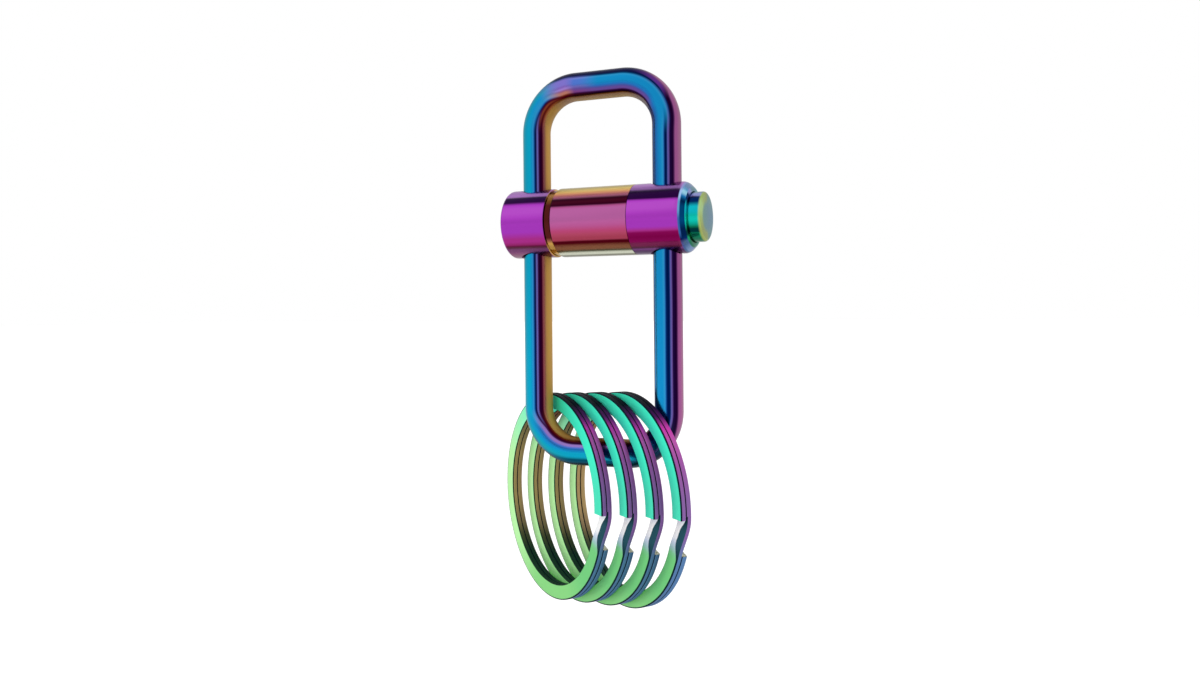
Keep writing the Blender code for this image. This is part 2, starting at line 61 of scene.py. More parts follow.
class Tint(Enum):
    """The colours of the anodised film, with painted reflections, highlights and shade among them,
    and of the plain steel, as they look on a screen.
    """

    WHITE = "ffffff"
    PALE_LILAC = "d6e2ff"
    ICE = "b4c8e2"
    CYAN = "0c97b6"
    BRIGHT_CYAN = "0a9cbf"
    TEAL = "1a97a4"
    DEEP_TEAL = "0e7a90"
    PETROL = "01475d"
    INK = "0e2a38"
    SKY = "2c90c4"
    AZURE = "1488c1"
    OCEAN = "1a76b4"
    COBALT = "2264aa"
    DENIM = "2f5c9a"
    DUSK = "444a90"
    NAVY = "00245d"
    MIDNIGHT = "000a3e"
    PERIWINKLE = "615ea4"
    CORNFLOWER = "4d72c7"
    LILAC = "9274bc"
    VIOLET = "5c4388"
    MULBERRY = "713b78"
    MAUVE = "975388"
    ROSE_MAUVE = "9c6288"
    PLUM = "431a4e"
    AUBERGINE = "190634"
    BLACK_PLUM = "170024"
    MAROON = "2c0018"
    WINE = "43091f"
    RUSSET = "7a3d46"
    COCOA = "8b5540"
    AMBER = "b28044"
    HONEY = "bd903e"
    GOLD = "c49848"
    OLD_GOLD = "9a7d44"
    BRONZE = "764b20"
    UMBER = "371807"
    TAN = "8e6e50"
    GREY_MAUVE = "8d5da2"
    SOFT_MAUVE = "a871bc"
    HEATHER = "7c6ec4"
    PALE_CORNFLOWER = "6f7ecb"
    DEEP_LILAC = "8062b6"
    MALLOW = "885478"
    ROYAL = "5e2e88"
    ABYSS = "011d48"
    FROST = "96cee6"
    HAZE = "6a86ae"
    SKYLIGHT = "a4c4f4"
    SIENNA = "672b0e"
    BRASS = "a37c34"
    TAUPE = "746868"
    SOOT = "1b0206"
    SAGE = "6b958d"
    FACE_BLUE = "5a86a0"
    CERISE = "ab406c"
    RASPBERRY = "a3405c"
    APRICOT = "e0a468"
    CORAL = "c8786c"
    DULL_STRAW = "b4a05a"
    JADE = "0c8c60"
    MARINE = "27525f"
    EDGE_LILAC = "8a64a4"
    EDGE_GRAPE = "a05aa6"
    EDGE_ROSE = "bc5aac"
    EDGE_MAGENTA = "cc40b0"
    EDGE_PLUM = "5c2468"
    EDGE_NAVY = "04081c"
    EDGE_SLATE = "5a80ae"
    EDGE_STORM = "4c70a2"
    PALE_LIME = "abcc84"
    INDIGO_WINE = "28053c"
    BRIGHT_PURPLE = "b049c1"
    FADED_PLUM = "74366a"
    ORCHID = "a83abb"
    PURPLE = "9833ab"
    FUCHSIA = "9b2a7c"
    CRIMSON = "85225c"
    DEEP_WINE = "54002f"
    DUSTY_ROSE = "80506c"
    BURGUNDY = "7b084c"
    GARNET = "700340"
    STRAW = "e2c26e"
    SAND = "d6a562"
    ROSEWOOD = "a86a5c"
    ROSE = "a25e7a"
    PINK = "b25e9b"
    ROSE_PINK = "ab5088"
    BRICK = "98384e"
    OXBLOOD = "45000d"
    RUST = "75371f"
    OCHRE = "8a5230"
    CREAM = "c3c6b2"
    MOSS = "5f5f44"
    CHESTNUT = "4e1a19"
    STEEL_BLUE = "5a9cc8"
    LAVENDER = "8c92cc"
    DEEP_SEA = "003f6e"
    SEA_GREEN = "0cb6a6"
    TURQUOISE = "0db4c0"
    EMERALD = "0a9480"
    PINE = "0a6649"
    BLACK_GREEN = "002f33"
    LIME = "a2b864"
    OLIVE_LIME = "94a058"
    SLATE = "648c9c"
    MINT = "46fad2"
    SOFT_MINT = "50eac4"
    PALE_MINT = "98fcc8"
    PALE_GREEN = "c2fcb2"
    LEAF = "91de8a"
    GRASS = "79d484"
    BLACK_TEAL = "06222c"
    GRAPE = "79457e"
    DULL_PURPLE = "6a4c7c"
    STORM = "3f5c84"
    FAWN = "b89b69"
    DRAB = "957f5d"
    MUD = "4e5238"
    FOREST = "1c3a2e"
    STEEL = "8f9194"
    DARK_STEEL = "6c6e72"

    @property
    def linear(self) -> tuple[float, float, float, float]:
        """The colour in scene-linear values with full alpha."""
        channels = []
        for start in (0, 2, 4):
            level = int(self.value[start:start + 2], 16) / 255
            low = level <= 0.04045
            channels.append(level / 12.92 if low else ((level + 0.055) / 1.055) ** 2.4)
        return (*channels, 1.0)


Bands = dict[float, Tint]


def shifted(bands: Bands, by: float) -> Bands:
    """Moves a row of bands along its scale."""
    return {at + by: tint for at, tint in bands.items()}


class Slot(Enum):
    """The record's material slots that the redrawn turned pieces stand for; each keeps its slot,
    which nothing reads.
    """

    BOW = "anodised_bow"
    COLLAR = "anodised_collar"
    SLEEVE = "anodised_sleeve"
    BUTTON = "anodised_button"
    RING = "anodised_ring"


class Way(Enum):
    """The two ways that a bow can point from the barrel."""

    UP = 1
    DOWN = -1


def operator(operation: str, swapped: bool = False) -> Callable[["Socket", Any], "Socket"]:
    """Makes an operator on sockets and numbers from an operation of the Math node.

    Args:
        operation: The Math node's operation.
        swapped: Whether the socket is the second value.

    Returns:
        The operator, as a method.
    """
    def method(socket: "Socket", other: Any) -> "Socket":
        return socket.formula(operation, *((other, socket) if swapped else (socket, other)))

    return method


@dataclass(eq=False)
class Socket:
    """One output of a node, with the arithmetic that formulas on values need.

    A comparison gives 1 where it holds and 0 elsewhere.
    """

    tree: "Tree"
    link: bpy.types.NodeSocket

    __add__ = operator("ADD")
    __sub__ = operator("SUBTRACT")
    __rsub__ = operator("SUBTRACT", swapped=True)
    __mul__ = operator("MULTIPLY")
    __gt__ = operator("GREATER_THAN")
    __lt__ = operator("LESS_THAN")

    def formula(self, operation: str, *values: Any) -> "Socket":
        """Adds one Math node on numbers or sockets."""
        return self.tree.add("ShaderNodeMath", *values, settings={"operation": operation})

    def __neg__(self) -> "Socket":
        """-self."""
        return self * -1

    def angle_to(self, other: Any) -> "Socket":
        """The angle of the point (other, self), in degrees."""
        return self.formula("ARCTAN2", self, other) * math.degrees(1)

    def size(self) -> "Socket":
        """The value without its sign."""
        return self.formula("ABSOLUTE", self)

    def root(self) -> "Socket":
        """The square root of the value."""
        return self.formula("SQRT", self)

    def share(self, low: Any, high: Any) -> "Socket":
        """How far self has come from low to high, held to 0 and 1."""
        return self.tree.add("ShaderNodeMapRange", self, low, high, 0.0, 1.0)

    def step(self, low: Any, high: Any) -> "Socket":
        """As share, but eased in and out."""
        return self.tree.add("ShaderNodeMapRange", self, low, high, 0.0, 1.0,
                             settings={"interpolation_type": "SMOOTHSTEP"})


@dataclass
class Tree:
    """A node tree that is being written, for a shader or for geometry."""

    nodes: bpy.types.NodeTree

    def add(self, kind: str, *values: Any, settings: dict[str, Any] | None = None,
            out: str | None = None, **named: Any) -> Socket:
        """Adds a node.

        Args:
            kind: The node's type.
            values: Values or sockets for its inputs, in order.
            settings: Its properties, which are set before its inputs.
            out: The name of the output to return, or None for the first.
            named: Values or sockets for its inputs by name, with _ for a space.

        Returns:
            The chosen output.
        """
        node = self.nodes.nodes.new(kind)
        for name, value in (settings or {}).items():
            setattr(node, name, value)
        usable = [socket for socket in node.inputs if socket.enabled]
        for socket, value in zip(usable, values):
            self._feed(socket, value)
        for name, value in named.items():
            wanted = name.replace("_", " ")
            self._feed(next(socket for socket in usable if socket.name == wanted), value)
        outputs = (socket for socket in node.outputs if socket.enabled)
        return Socket(self, next(socket for socket in outputs if out in (None, socket.name)))

    def _feed(self, socket: bpy.types.NodeSocket, value: Any) -> None:
        """Links or sets one input.

        Args:
            socket: The input.
            value: A Socket, a Tint or a plain value.
        """
        if isinstance(value, Socket):
            self.nodes.links.new(value.link, socket)
        elif isinstance(value, Tint):
            socket.default_value = value.linear
        else:
            socket.default_value = value

    def ramp(self, place: Socket, bands: Bands, low: float = 0.0, high: float = 1.0) -> Socket:
        """Lays a row of tints along a value.

        Args:
            place: The value.
            bands: Each tint under the place where it is full.
            low: The value at the start of the ramp.
            high: The value at the end of the ramp.

        Returns:
            The colour.
        """
        share = place.share(low, high)
        colour = self.add("ShaderNodeValToRGB", share)
        stops = colour.link.node.color_ramp.elements
        ordered = sorted(bands.items())
        while len(stops) < len(ordered):
            stops.new(1.0)
        for stop, (at, tint) in zip(stops, ordered):
            stop.position = (at - low) / (high - low)
            stop.color = tint.linear
        return colour

    def mix(self, share: Any, first: Any, second: Any) -> Socket:
        """Mixes two colours, first at share 0 and second at share 1."""
        return self.add("ShaderNodeMix", share, first, second, settings={"data_type": "RGBA"})

    def parts(self, vector: Socket) -> tuple[Socket, ...]:
        """Splits a vector into its three values."""
        node = self.add("ShaderNodeSeparateXYZ", vector).link.node
        return tuple(Socket(self, value) for value in node.outputs)

    def spot(self) -> Socket:
        """Reads a point's place on the piece, in metres."""
        return self.add("ShaderNodeTexCoord", out="Object")

    def noise(self, vector: Socket | None = None, **named: Any) -> Socket:
        """Adds a noise of about 0.3 to 0.7, over the piece unless a vector is given."""
        return self.add("ShaderNodeTexNoise", Vector=vector or self.spot(), **named)

    def rays(self) -> tuple[Socket, Socket]:
        """Says whether a ray comes from the camera, and whether from a reflection."""
        return (self.add("ShaderNodeLightPath", out="Is Camera Ray"),
                self.add("ShaderNodeLightPath", out="Is Glossy Ray"))

    def recall(self, name: str) -> Socket:
        """Reads the number that a geometry keeps under a name."""
        return self.add("GeometryNodeInputNamedAttribute", settings={"data_type": "FLOAT"},
                        Name=name)

    def keep(self, shape: Socket, name: str, value: Socket, kind: str, domain: str) -> Socket:
        """Keeps a value on a geometry under a name."""
        return self.add("GeometryNodeStoreNamedAttribute", Geometry=shape, Name=name,
                        Value=value, settings={"data_type": kind, "domain": domain})


@dataclass(frozen=True)
class Finish(ABC):
    """A metal whose colour a subclass lays over the surface."""

    name: str
    roughness: float = 0.22
    sheen_spread: float = 0.05
    satin_roughness: float = 0.3
    satin_metal: float = 0.6
    rim_glare: float = 0.75
    gloss: float = 0.5
    grain_scale: float = 2400.0
    grain_depth: float = 0.00003 * MM
    wear_scale: float = 260.0
    wear_range: tuple[float, float] = (0.35, 0.75)

    @abstractmethod
    def paint(self, tree: Tree) -> Socket:
        """Lays the colour.

        Args:
            tree: The material's tree.

        Returns:
            The base colour.
        """

    def satin(self, tree: Tree) -> Socket | None:
        """Says where the surface is satin rather than polished.

        Args:
            tree: The material's tree.

        Returns:
            A value that is 1 where it is satin, or None where all of it is polished.
        """
        return None

    def material(self) -> bpy.types.Material:
        """Builds the finish.

        Returns:
            The material.
        """
        made = bpy.data.materials.new(self.name)
        made.use_nodes = True
        tree = Tree(made.node_tree)
        shader = made.node_tree.nodes["Principled BSDF"]
        grain = tree.noise(Scale=self.grain_scale, Detail=3.0, Roughness=0.6)
        wear = tree.noise(Scale=self.wear_scale, Detail=4.0, Roughness=0.55)
        rough = wear.share(*self.wear_range) * self.sheen_spread + self.roughness
        satin = self.satin(tree)
        bump = tree.add("ShaderNodeBump", Strength=1.0, Distance=self.grain_depth, Height=grain)
        links = made.node_tree.links
        links.new(self.paint(tree).link, shader.inputs["Base Color"])
        links.new(rough.link, shader.inputs["Roughness"])
        links.new(bump.link, shader.inputs["Normal"])
        shader.inputs["Metallic"].default_value = 1.0
        shader.inputs["Specular IOR Level"].default_value = self.gloss
        shader.inputs["Specular Tint"].default_value = (*[self.rim_glare] * 3, 1.0)
        if satin:
            links.new((satin * self.satin_roughness + rough).link, shader.inputs["Roughness"])
            links.new((1 - satin * self.satin_metal).link, shader.inputs["Metallic"])
        return made


@dataclass(frozen=True)
class Station:
    """The film's tints round a rod at one stretch of its length, by the angle round the rod, with
    the room's reflections painted in as dark and bright bands.

    The angle is 0 at the side away from the loop's window, 90 at the front and 180 at the
    window. The four edges say where the outer tint ends, the bright band starts and ends,
    and the window's tint starts. They slide along the rod from station to station.
    """

    edges: tuple[float, float, float, float]
    bands: Bands

    LOW = -90.0
    HIGH = 270.0

    def turned(self, by: float) -> "Station":
        """Turns the film round the rod.

        Args:
            by: The angle in degrees, towards the window.

        Returns:
            The turned station, with its seam at the back left in place.
        """
        slid = {at + by if self.LOW < at < self.HIGH else at: tint
                for at, tint in self.bands.items()}
        return Station(tuple(edge + by for edge in self.edges), slid)

    def place(self, angle: float) -> float:
        """Says where an angle lies between the edges, from 0 to 1.

        Args:
            angle: The angle round the rod, in degrees.

        Returns:
            Its place, with each stretch between two edges as long as any other.
        """
        marks = (self.LOW, *self.edges, self.HIGH)
        place = 0.0
        for low, high in zip(marks, marks[1:]):
            place += min(max((angle - low) / (high - low), 0.0), 1.0)
        return place / (len(marks) - 1)


# The rods' bands lie by the angle round the rod, from the back over the front to the back.
# They are the film's tints with the room's reflections painted in: the dark lines and the
# bright bands are painted reflections.

BACK_LOW: Bands = {-90: Tint.NAVY, -66: Tint.OCEAN, -40: Tint.COBALT, -12: Tint.PLUM}

BACK_HIGH: Bands = {215: Tint.BRONZE, 234: Tint.MAROON, 251: Tint.PLUM, 270: Tint.NAVY}

RIGHT_BACK: Bands = {172: Tint.NAVY, 200: Tint.OCEAN, 236: Tint.COBALT, 270: Tint.NAVY}

LEFT_LEG = Station((-20, 14, 98, 136), {
    -90: Tint.NAVY, -70: Tint.COBALT, -45: Tint.OCEAN, -20: Tint.CYAN, 14: Tint.TEAL,
    38: Tint.TEAL, 58: Tint.CYAN, 72: Tint.BRIGHT_CYAN, 82: Tint.BRIGHT_CYAN, 88: Tint.AZURE,
    93.5: Tint.SKY, 97: Tint.COBALT, 101: Tint.NAVY, 106.5: Tint.MIDNIGHT, 111: Tint.PERIWINKLE,
    113.5: Tint.PERIWINKLE, 117: Tint.PLUM, 121: Tint.BLACK_PLUM, 131: Tint.MAROON, 134: Tint.WINE,
    138: Tint.RUSSET, 145: Tint.COCOA, 151: Tint.AMBER, 160: Tint.HONEY, 180: Tint.HONEY,
    206: Tint.GOLD, 225: Tint.COCOA, 240: Tint.MAROON, 256: Tint.MIDNIGHT, 270: Tint.NAVY})

LEFT_BEND = Station((-10, 30, 101, 134), {
    -90: Tint.NAVY, -60: Tint.OCEAN, 20: Tint.DEEP_TEAL, 62: Tint.CYAN, 80: Tint.AZURE,
    97: Tint.SKY, 104: Tint.COBALT, 109.5: Tint.MIDNIGHT, 115: Tint.WINE, 121: Tint.RUST,
    128: Tint.OXBLOOD, 134: Tint.SIENNA, 140: Tint.OCHRE, 146: Tint.BRASS, 176: Tint.BRASS,
    196: Tint.OLD_GOLD, **BACK_HIGH})

ROSE_BEND = Station((0, 56, 124, 144), {
    **BACK_LOW, 2: Tint.AUBERGINE, 30: Tint.MIDNIGHT, 48: Tint.AUBERGINE, 54: Tint.NAVY,
    60: Tint.PERIWINKLE, 66: Tint.HEATHER, 86: Tint.HEATHER, 95: Tint.DEEP_LILAC, 103: Tint.LILAC,
    110: Tint.MALLOW, 117: Tint.ROSEWOOD, 122: Tint.ROSEWOOD, 127: Tint.RUST, 132: Tint.OXBLOOD,
    139: Tint.OXBLOOD, 146: Tint.BRONZE, 152: Tint.TAN, 186: Tint.TAN, **BACK_HIGH})

LILAC_BAR = Station((0, 59, 124, 146), {
    **BACK_LOW, 2: Tint.AUBERGINE, 34: Tint.MIDNIGHT, 52: Tint.MIDNIGHT, 60: Tint.DUSK,
    66: Tint.PALE_CORNFLOWER, 74: Tint.CORNFLOWER, 92: Tint.CORNFLOWER, 101: Tint.PERIWINKLE,
    110: Tint.VIOLET, 121: Tint.MULBERRY, 126: Tint.PLUM, 131: Tint.MAROON, 141: Tint.UMBER,
    147: Tint.BRONZE, 154: Tint.TAN, 172: Tint.OLD_GOLD, 192: Tint.TAN, **BACK_HIGH})

TOP_BAR = Station((0, 61, 124, 143), {
    **BACK_LOW, 2: Tint.AUBERGINE, 36: Tint.MIDNIGHT, 55: Tint.MIDNIGHT, 61: Tint.DEEP_SEA,
    67: Tint.SKY, 75: Tint.AZURE, 92: Tint.AZURE, 99: Tint.OCEAN, 105: Tint.COBALT, 112: Tint.DUSK,
    118: Tint.VIOLET, 123: Tint.VIOLET, 127: Tint.PLUM, 131.5: Tint.BLACK_PLUM, 138: Tint.SOOT,
    143: Tint.BRONZE, 149: Tint.TAN, 172: Tint.OLD_GOLD, 192: Tint.TAN, **BACK_HIGH})

RIGHT_BEND = Station((20, 59, 124, 137), {
    **BACK_LOW, 0: Tint.ROSE_MAUVE, 20: Tint.ROSE_MAUVE, 31: Tint.MULBERRY, 38: Tint.ROYAL,
    48: Tint.ROYAL, 52.5: Tint.NAVY, 57: Tint.MIDNIGHT, 61.5: Tint.DENIM, 67: Tint.SKY,
    74: Tint.AZURE, 90: Tint.AZURE, 98: Tint.OCEAN, 106: Tint.COBALT, 112: Tint.DUSK,
    118: Tint.VIOLET, 122: Tint.VIOLET, 128: Tint.BLACK_PLUM, 134: Tint.PLUM, 140: Tint.TAUPE,
    165: Tint.TAUPE, 200: Tint.BRONZE, 235: Tint.MAROON, 270: Tint.NAVY})

RIGHT_TURN = Station((38, 60, 126, 140), {
    -90: Tint.NAVY, -72: Tint.DUSK, -45: Tint.VIOLET, -18: Tint.ROSE_MAUVE, 14: Tint.ROSE_MAUVE,
    24: Tint.MAUVE, 32: Tint.MAUVE, 38: Tint.PLUM, 43: Tint.BLACK_PLUM, 52: Tint.BLACK_PLUM,
    57: Tint.NAVY, 61.5: Tint.DENIM, 67: Tint.SKY, 74: Tint.AZURE, 99: Tint.AZURE, 108: Tint.OCEAN,
    116: Tint.COBALT, 123: Tint.DENIM, 128: Tint.DUSK, 135: Tint.NAVY, 142: Tint.MIDNIGHT,
    **RIGHT_BACK})

RIGHT_LEG = Station((40, 59, 134, 150), {
    -90: Tint.NAVY, -72: Tint.DUSK, -45: Tint.VIOLET, -18: Tint.ROSE_MAUVE, 12: Tint.ROSE_MAUVE,
    26: Tint.MAUVE, 34: Tint.MAUVE, 40: Tint.PLUM, 45: Tint.BLACK_PLUM, 53: Tint.AUBERGINE,
    57: Tint.AUBERGINE, 61: Tint.VIOLET, 64.5: Tint.PERIWINKLE, 68.5: Tint.NAVY, 73: Tint.MIDNIGHT,
    77: Tint.NAVY, 80.5: Tint.COBALT, 84: Tint.SKY, 93: Tint.AZURE, 108: Tint.OCEAN,
    118: Tint.COBALT, 128: Tint.DENIM, 136: Tint.NAVY, 150: Tint.MIDNIGHT, **RIGHT_BACK})

LOWER_RIGHT_LEG = Station((34, 56, 134, 146), {
    -90: Tint.NAVY, -75: Tint.DUSK, -48: Tint.VIOLET, -21: Tint.ROSE_MAUVE, 9: Tint.ROSE_MAUVE,
    20: Tint.MAUVE, 28: Tint.MAUVE, 34.5: Tint.PLUM, 40: Tint.BLACK_PLUM, 50: Tint.AUBERGINE,
    54: Tint.AUBERGINE, 58: Tint.VIOLET, 61.5: Tint.PERIWINKLE, 66: Tint.NAVY, 72: Tint.MIDNIGHT,
    80: Tint.NAVY, 84: Tint.COBALT, 87.5: Tint.SKY, 96: Tint.AZURE, 122: Tint.AZURE, 131: Tint.SKY,
    137: Tint.OCEAN, 143: Tint.NAVY, 150: Tint.MIDNIGHT, **RIGHT_BACK})

LOWER_BEND = Station((-10, 45, 119, 142), {
    -90: Tint.NAVY, -60: Tint.DEEP_TEAL, 0: Tint.PETROL, 38: Tint.PETROL, 46: Tint.DEEP_TEAL,
    60: Tint.TEAL, 74: Tint.CYAN, 86: Tint.AZURE, 93: Tint.OCEAN, 99: Tint.COBALT,
    105: Tint.CORNFLOWER, 111: Tint.LILAC, 116.5: Tint.LILAC, 122: Tint.PLUM, 128: Tint.MAROON,
    134: Tint.OXBLOOD, 140: Tint.SIENNA, 146: Tint.AMBER, 153: Tint.GOLD, 168: Tint.GOLD,
    184: Tint.OLD_GOLD, **BACK_HIGH})

BOTTOM_BAR = Station((-10, 60, 123, 143), {
    -90: Tint.NAVY, -70: Tint.OCEAN, -45: Tint.DEEP_TEAL, -10: Tint.INK, 32: Tint.INK,
    50: Tint.PETROL, 62: Tint.PETROL, 68: Tint.DEEP_TEAL, 75: Tint.CYAN, 88: Tint.CYAN,
    98: Tint.AZURE, 105: Tint.COBALT, 111: Tint.CORNFLOWER, 117: Tint.LILAC, 122: Tint.LILAC,
    127: Tint.PLUM, 131: Tint.BLACK_PLUM, 136: Tint.WINE, 141: Tint.SIENNA, 147: Tint.BRONZE,
    153: Tint.AMBER, 162: Tint.GOLD, 182: Tint.OLD_GOLD, 206: Tint.BRONZE, 226: Tint.MAROON,
    248: Tint.PLUM, 270: Tint.NAVY})


@dataclass(frozen=True, kw_only=True)
class RodFilmWithPaintedReflections(Finish):
    """The film's tints on a bow with painted reflections: bands that run along the rod and slide
    round it at the corners.
    """

    first: Station
    changes: tuple[tuple[float, float, Station], ...]
    soft_from: float = 140.0
    soft_to: float = 205.0
    soft_edge: float = 8.0
    drift_scale: float = 90.0
    drift_angle: float = 3.0

    def place(self, tree: Tree) -> tuple[Socket, Socket]:
        """Reads a point's angle round the rod in degrees and its stage along it."""
        film = tree.add("ShaderNodeUVMap", settings={"uv_map": "film"})
        across, along, _ = tree.parts(film)
        return across * 360 + Station.LOW, along

    def satin(self, tree: Tree) -> Socket:
        """The rod is softer on its window side, where it would mirror the other leg."""
        angle, _ = self.place(tree)
        return (angle.step(self.soft_from, self.soft_from + self.soft_edge)
                * (1 - angle.step(self.soft_to, self.soft_to + self.soft_edge)))

    def paint(self, tree: Tree) -> Socket:
        """Lays the bands by the film map, whose V is 0 to 5 over the five stretches."""
        angle, along = self.place(tree)
        drift = tree.noise(Scale=self.drift_scale, Detail=1.0) - 0.5
        angle = angle + drift * self.drift_angle
        shares = [along.step(low, high) for low, high, _ in self.changes]
        stations = [self.first, *(station for _, _, station in self.changes)]
        marks = [Station.LOW]
        for k, edge in enumerate(self.first.edges):
            for share, station, before in zip(shares, stations[1:], stations):
                edge = share * (station.edges[k] - before.edges[k]) + edge
            marks.append(edge)
        marks.append(Station.HIGH)
        spot = 0.0
        for low, high in zip(marks, marks[1:]):
            spot = angle.share(low, high) + spot
        spot = spot * (1 / (len(marks) - 1))
        colour = None
        for share, station in zip((None, *shares), stations):
            bands = {station.place(at): tint for at, tint in station.bands.items()}
            layer = tree.ramp(spot, bands)
            colour = layer if colour is None else tree.mix(share, colour, layer)
        return colour


# The barrel's bands lie by the angle round it, 0 at the front and 90 at the top.
# They are the film's tints with the room's reflections painted in: the dark and bright bands
# are painted reflections, and the chamfer's frost-blue band near the top is a painted highlight.

COLLAR_LEFT_BANDS: Bands = {
    -180: Tint.INDIGO_WINE, -150: Tint.DEEP_WINE, -125: Tint.GREY_MAUVE, -89: Tint.DUSTY_ROSE,
    -66: Tint.DUSTY_ROSE, -56: Tint.FADED_PLUM, -51: Tint.FADED_PLUM, -47: Tint.DEEP_WINE,
    -44: Tint.DEEP_WINE, -41: Tint.CRIMSON, -35: Tint.FUCHSIA, -30: Tint.FUCHSIA, -18: Tint.PURPLE,
    -8: Tint.PURPLE, 4: Tint.ORCHID, 14: Tint.BRIGHT_PURPLE, 22: Tint.BRIGHT_PURPLE,
    28.5: Tint.ORCHID, 34: Tint.INDIGO_WINE, 45: Tint.INDIGO_WINE, 49.5: Tint.SOFT_MAUVE,
    68: Tint.SOFT_MAUVE, 90: Tint.GREY_MAUVE, 120: Tint.ORCHID, 150: Tint.PURPLE,
    180: Tint.INDIGO_WINE}

COLLAR_RIGHT_BANDS: Bands = {
    -180: Tint.INDIGO_WINE, -150: Tint.GARNET, -125: Tint.DUSTY_ROSE, -90: Tint.PLUM,
    -76: Tint.PLUM, -66: Tint.PLUM, -60: Tint.MULBERRY, -56: Tint.DEEP_WINE, -51: Tint.BURGUNDY,
    -43: Tint.BURGUNDY, -34: Tint.GARNET, -26: Tint.BURGUNDY, -23: Tint.FUCHSIA, -17: Tint.PURPLE,
    -8: Tint.PURPLE, 4: Tint.ORCHID, 12: Tint.BRIGHT_PURPLE, 22: Tint.BRIGHT_PURPLE,
    25.5: Tint.ORCHID, 29.5: Tint.INDIGO_WINE, 46: Tint.INDIGO_WINE, 51: Tint.GREY_MAUVE,
    62: Tint.SOFT_MAUVE, 70: Tint.SOFT_MAUVE, 95: Tint.GREY_MAUVE, 125: Tint.ORCHID,
    155: Tint.PURPLE, 180: Tint.INDIGO_WINE}

SLEEVE_BANDS: Bands = {
    -180: Tint.OXBLOOD, -120: Tint.SAND, -84: Tint.MOSS, -76: Tint.MOSS, -71.5: Tint.CREAM,
    -65.5: Tint.CREAM, -60: Tint.MOSS, -55: Tint.OCHRE, -50: Tint.OCHRE, -46: Tint.RUST,
    -42: Tint.OXBLOOD, -37.5: Tint.OXBLOOD, -35: Tint.BRICK, -31: Tint.BRICK, -25: Tint.RASPBERRY,
    -19: Tint.CERISE, -11: Tint.ROSE_PINK, 0: Tint.PINK, 17: Tint.PINK, 20.5: Tint.ROSE_PINK,
    23.5: Tint.MAROON, 30: Tint.WINE, 36: Tint.MAROON, 40.5: Tint.ROSE, 46: Tint.CORAL,
    51: Tint.APRICOT, 57: Tint.STRAW, 66: Tint.DULL_STRAW, 80: Tint.DULL_STRAW, 105: Tint.SAND,
    135: Tint.ROSE, 180: Tint.OXBLOOD}

RELIEF_BANDS: Bands = {
    -180: Tint.WINE, -120: Tint.AMBER, -84: Tint.OLD_GOLD, -68: Tint.GOLD, -44: Tint.GOLD,
    -37: Tint.COCOA, -31: Tint.CHESTNUT, -8: Tint.CHESTNUT, 28: Tint.CHESTNUT, 38: Tint.BRONZE,
    52: Tint.AMBER, 62: Tint.BRONZE, 74: Tint.ROSE, 88: Tint.STRAW, 120: Tint.AMBER,
    180: Tint.WINE}

CHAMFER_BANDS: Bands = {
    -180: Tint.NAVY, -120: Tint.PERIWINKLE, -78: Tint.HAZE, -58: Tint.STORM, -51: Tint.STORM,
    -45: Tint.NAVY, -37: Tint.ABYSS, -24: Tint.ABYSS, -10: Tint.DEEP_SEA, 14: Tint.DEEP_SEA,
    24: Tint.ABYSS, 29: Tint.DEEP_SEA, 35: Tint.OCEAN, 42: Tint.FROST, 47: Tint.FROST,
    53: Tint.STEEL_BLUE, 62: Tint.HAZE, 84: Tint.HAZE, 130: Tint.COBALT, 180: Tint.NAVY}

# The rings of tints on the closed end lie by the distance from the barrel's axis.

CAP_BANDS: Bands = {
    0.0: Tint.ORCHID, 2.5 * MM: Tint.ORCHID, 4 * MM: Tint.PURPLE, 5 * MM: Tint.ORCHID}

# The line between chamfer and collar, a painted highlight that is brightest near the top, then the
# button's side and its rim with painted reflections, again by the angle.

CREASE_BANDS: Bands = {
    -180: Tint.NAVY, -70: Tint.STORM, -52: Tint.DUSK, -42: Tint.MIDNIGHT, -30: Tint.DENIM,
    -6: Tint.DENIM, 6: Tint.STEEL_BLUE, 22: Tint.STEEL_BLUE, 31: Tint.SKYLIGHT, 43: Tint.SKYLIGHT,
    52: Tint.LAVENDER, 70: Tint.LAVENDER, 180: Tint.NAVY}

BUTTON_SIDE_BANDS: Bands = {
    -180: Tint.BLACK_GREEN, -130: Tint.EMERALD, -86: Tint.PINE, -60: Tint.PINE, -52: Tint.JADE,
    -46: Tint.JADE, -40: Tint.BLACK_GREEN, -32: Tint.BLACK_GREEN, -27: Tint.PINE,
    -21: Tint.EMERALD, -12: Tint.SEA_GREEN, -2: Tint.SEA_GREEN, 8: Tint.TURQUOISE,
    19: Tint.TURQUOISE, 26: Tint.DEEP_TEAL, 32: Tint.NAVY, 46: Tint.NAVY, 52: Tint.LAVENDER,
    62: Tint.LAVENDER, 70: Tint.SLATE, 86: Tint.SLATE, 130: Tint.TURQUOISE, 180: Tint.BLACK_GREEN}

BUTTON_RIM_BANDS: Bands = {
    -180: Tint.FACE_BLUE, -108: Tint.SAGE, -92: Tint.OLIVE_LIME, -40: Tint.OLIVE_LIME,
    -10: Tint.LIME, 14: Tint.PALE_LIME, 34: Tint.PALE_LIME, 50: Tint.LIME, 86: Tint.OLIVE_LIME,
    102: Tint.SAGE, 180: Tint.FACE_BLUE}


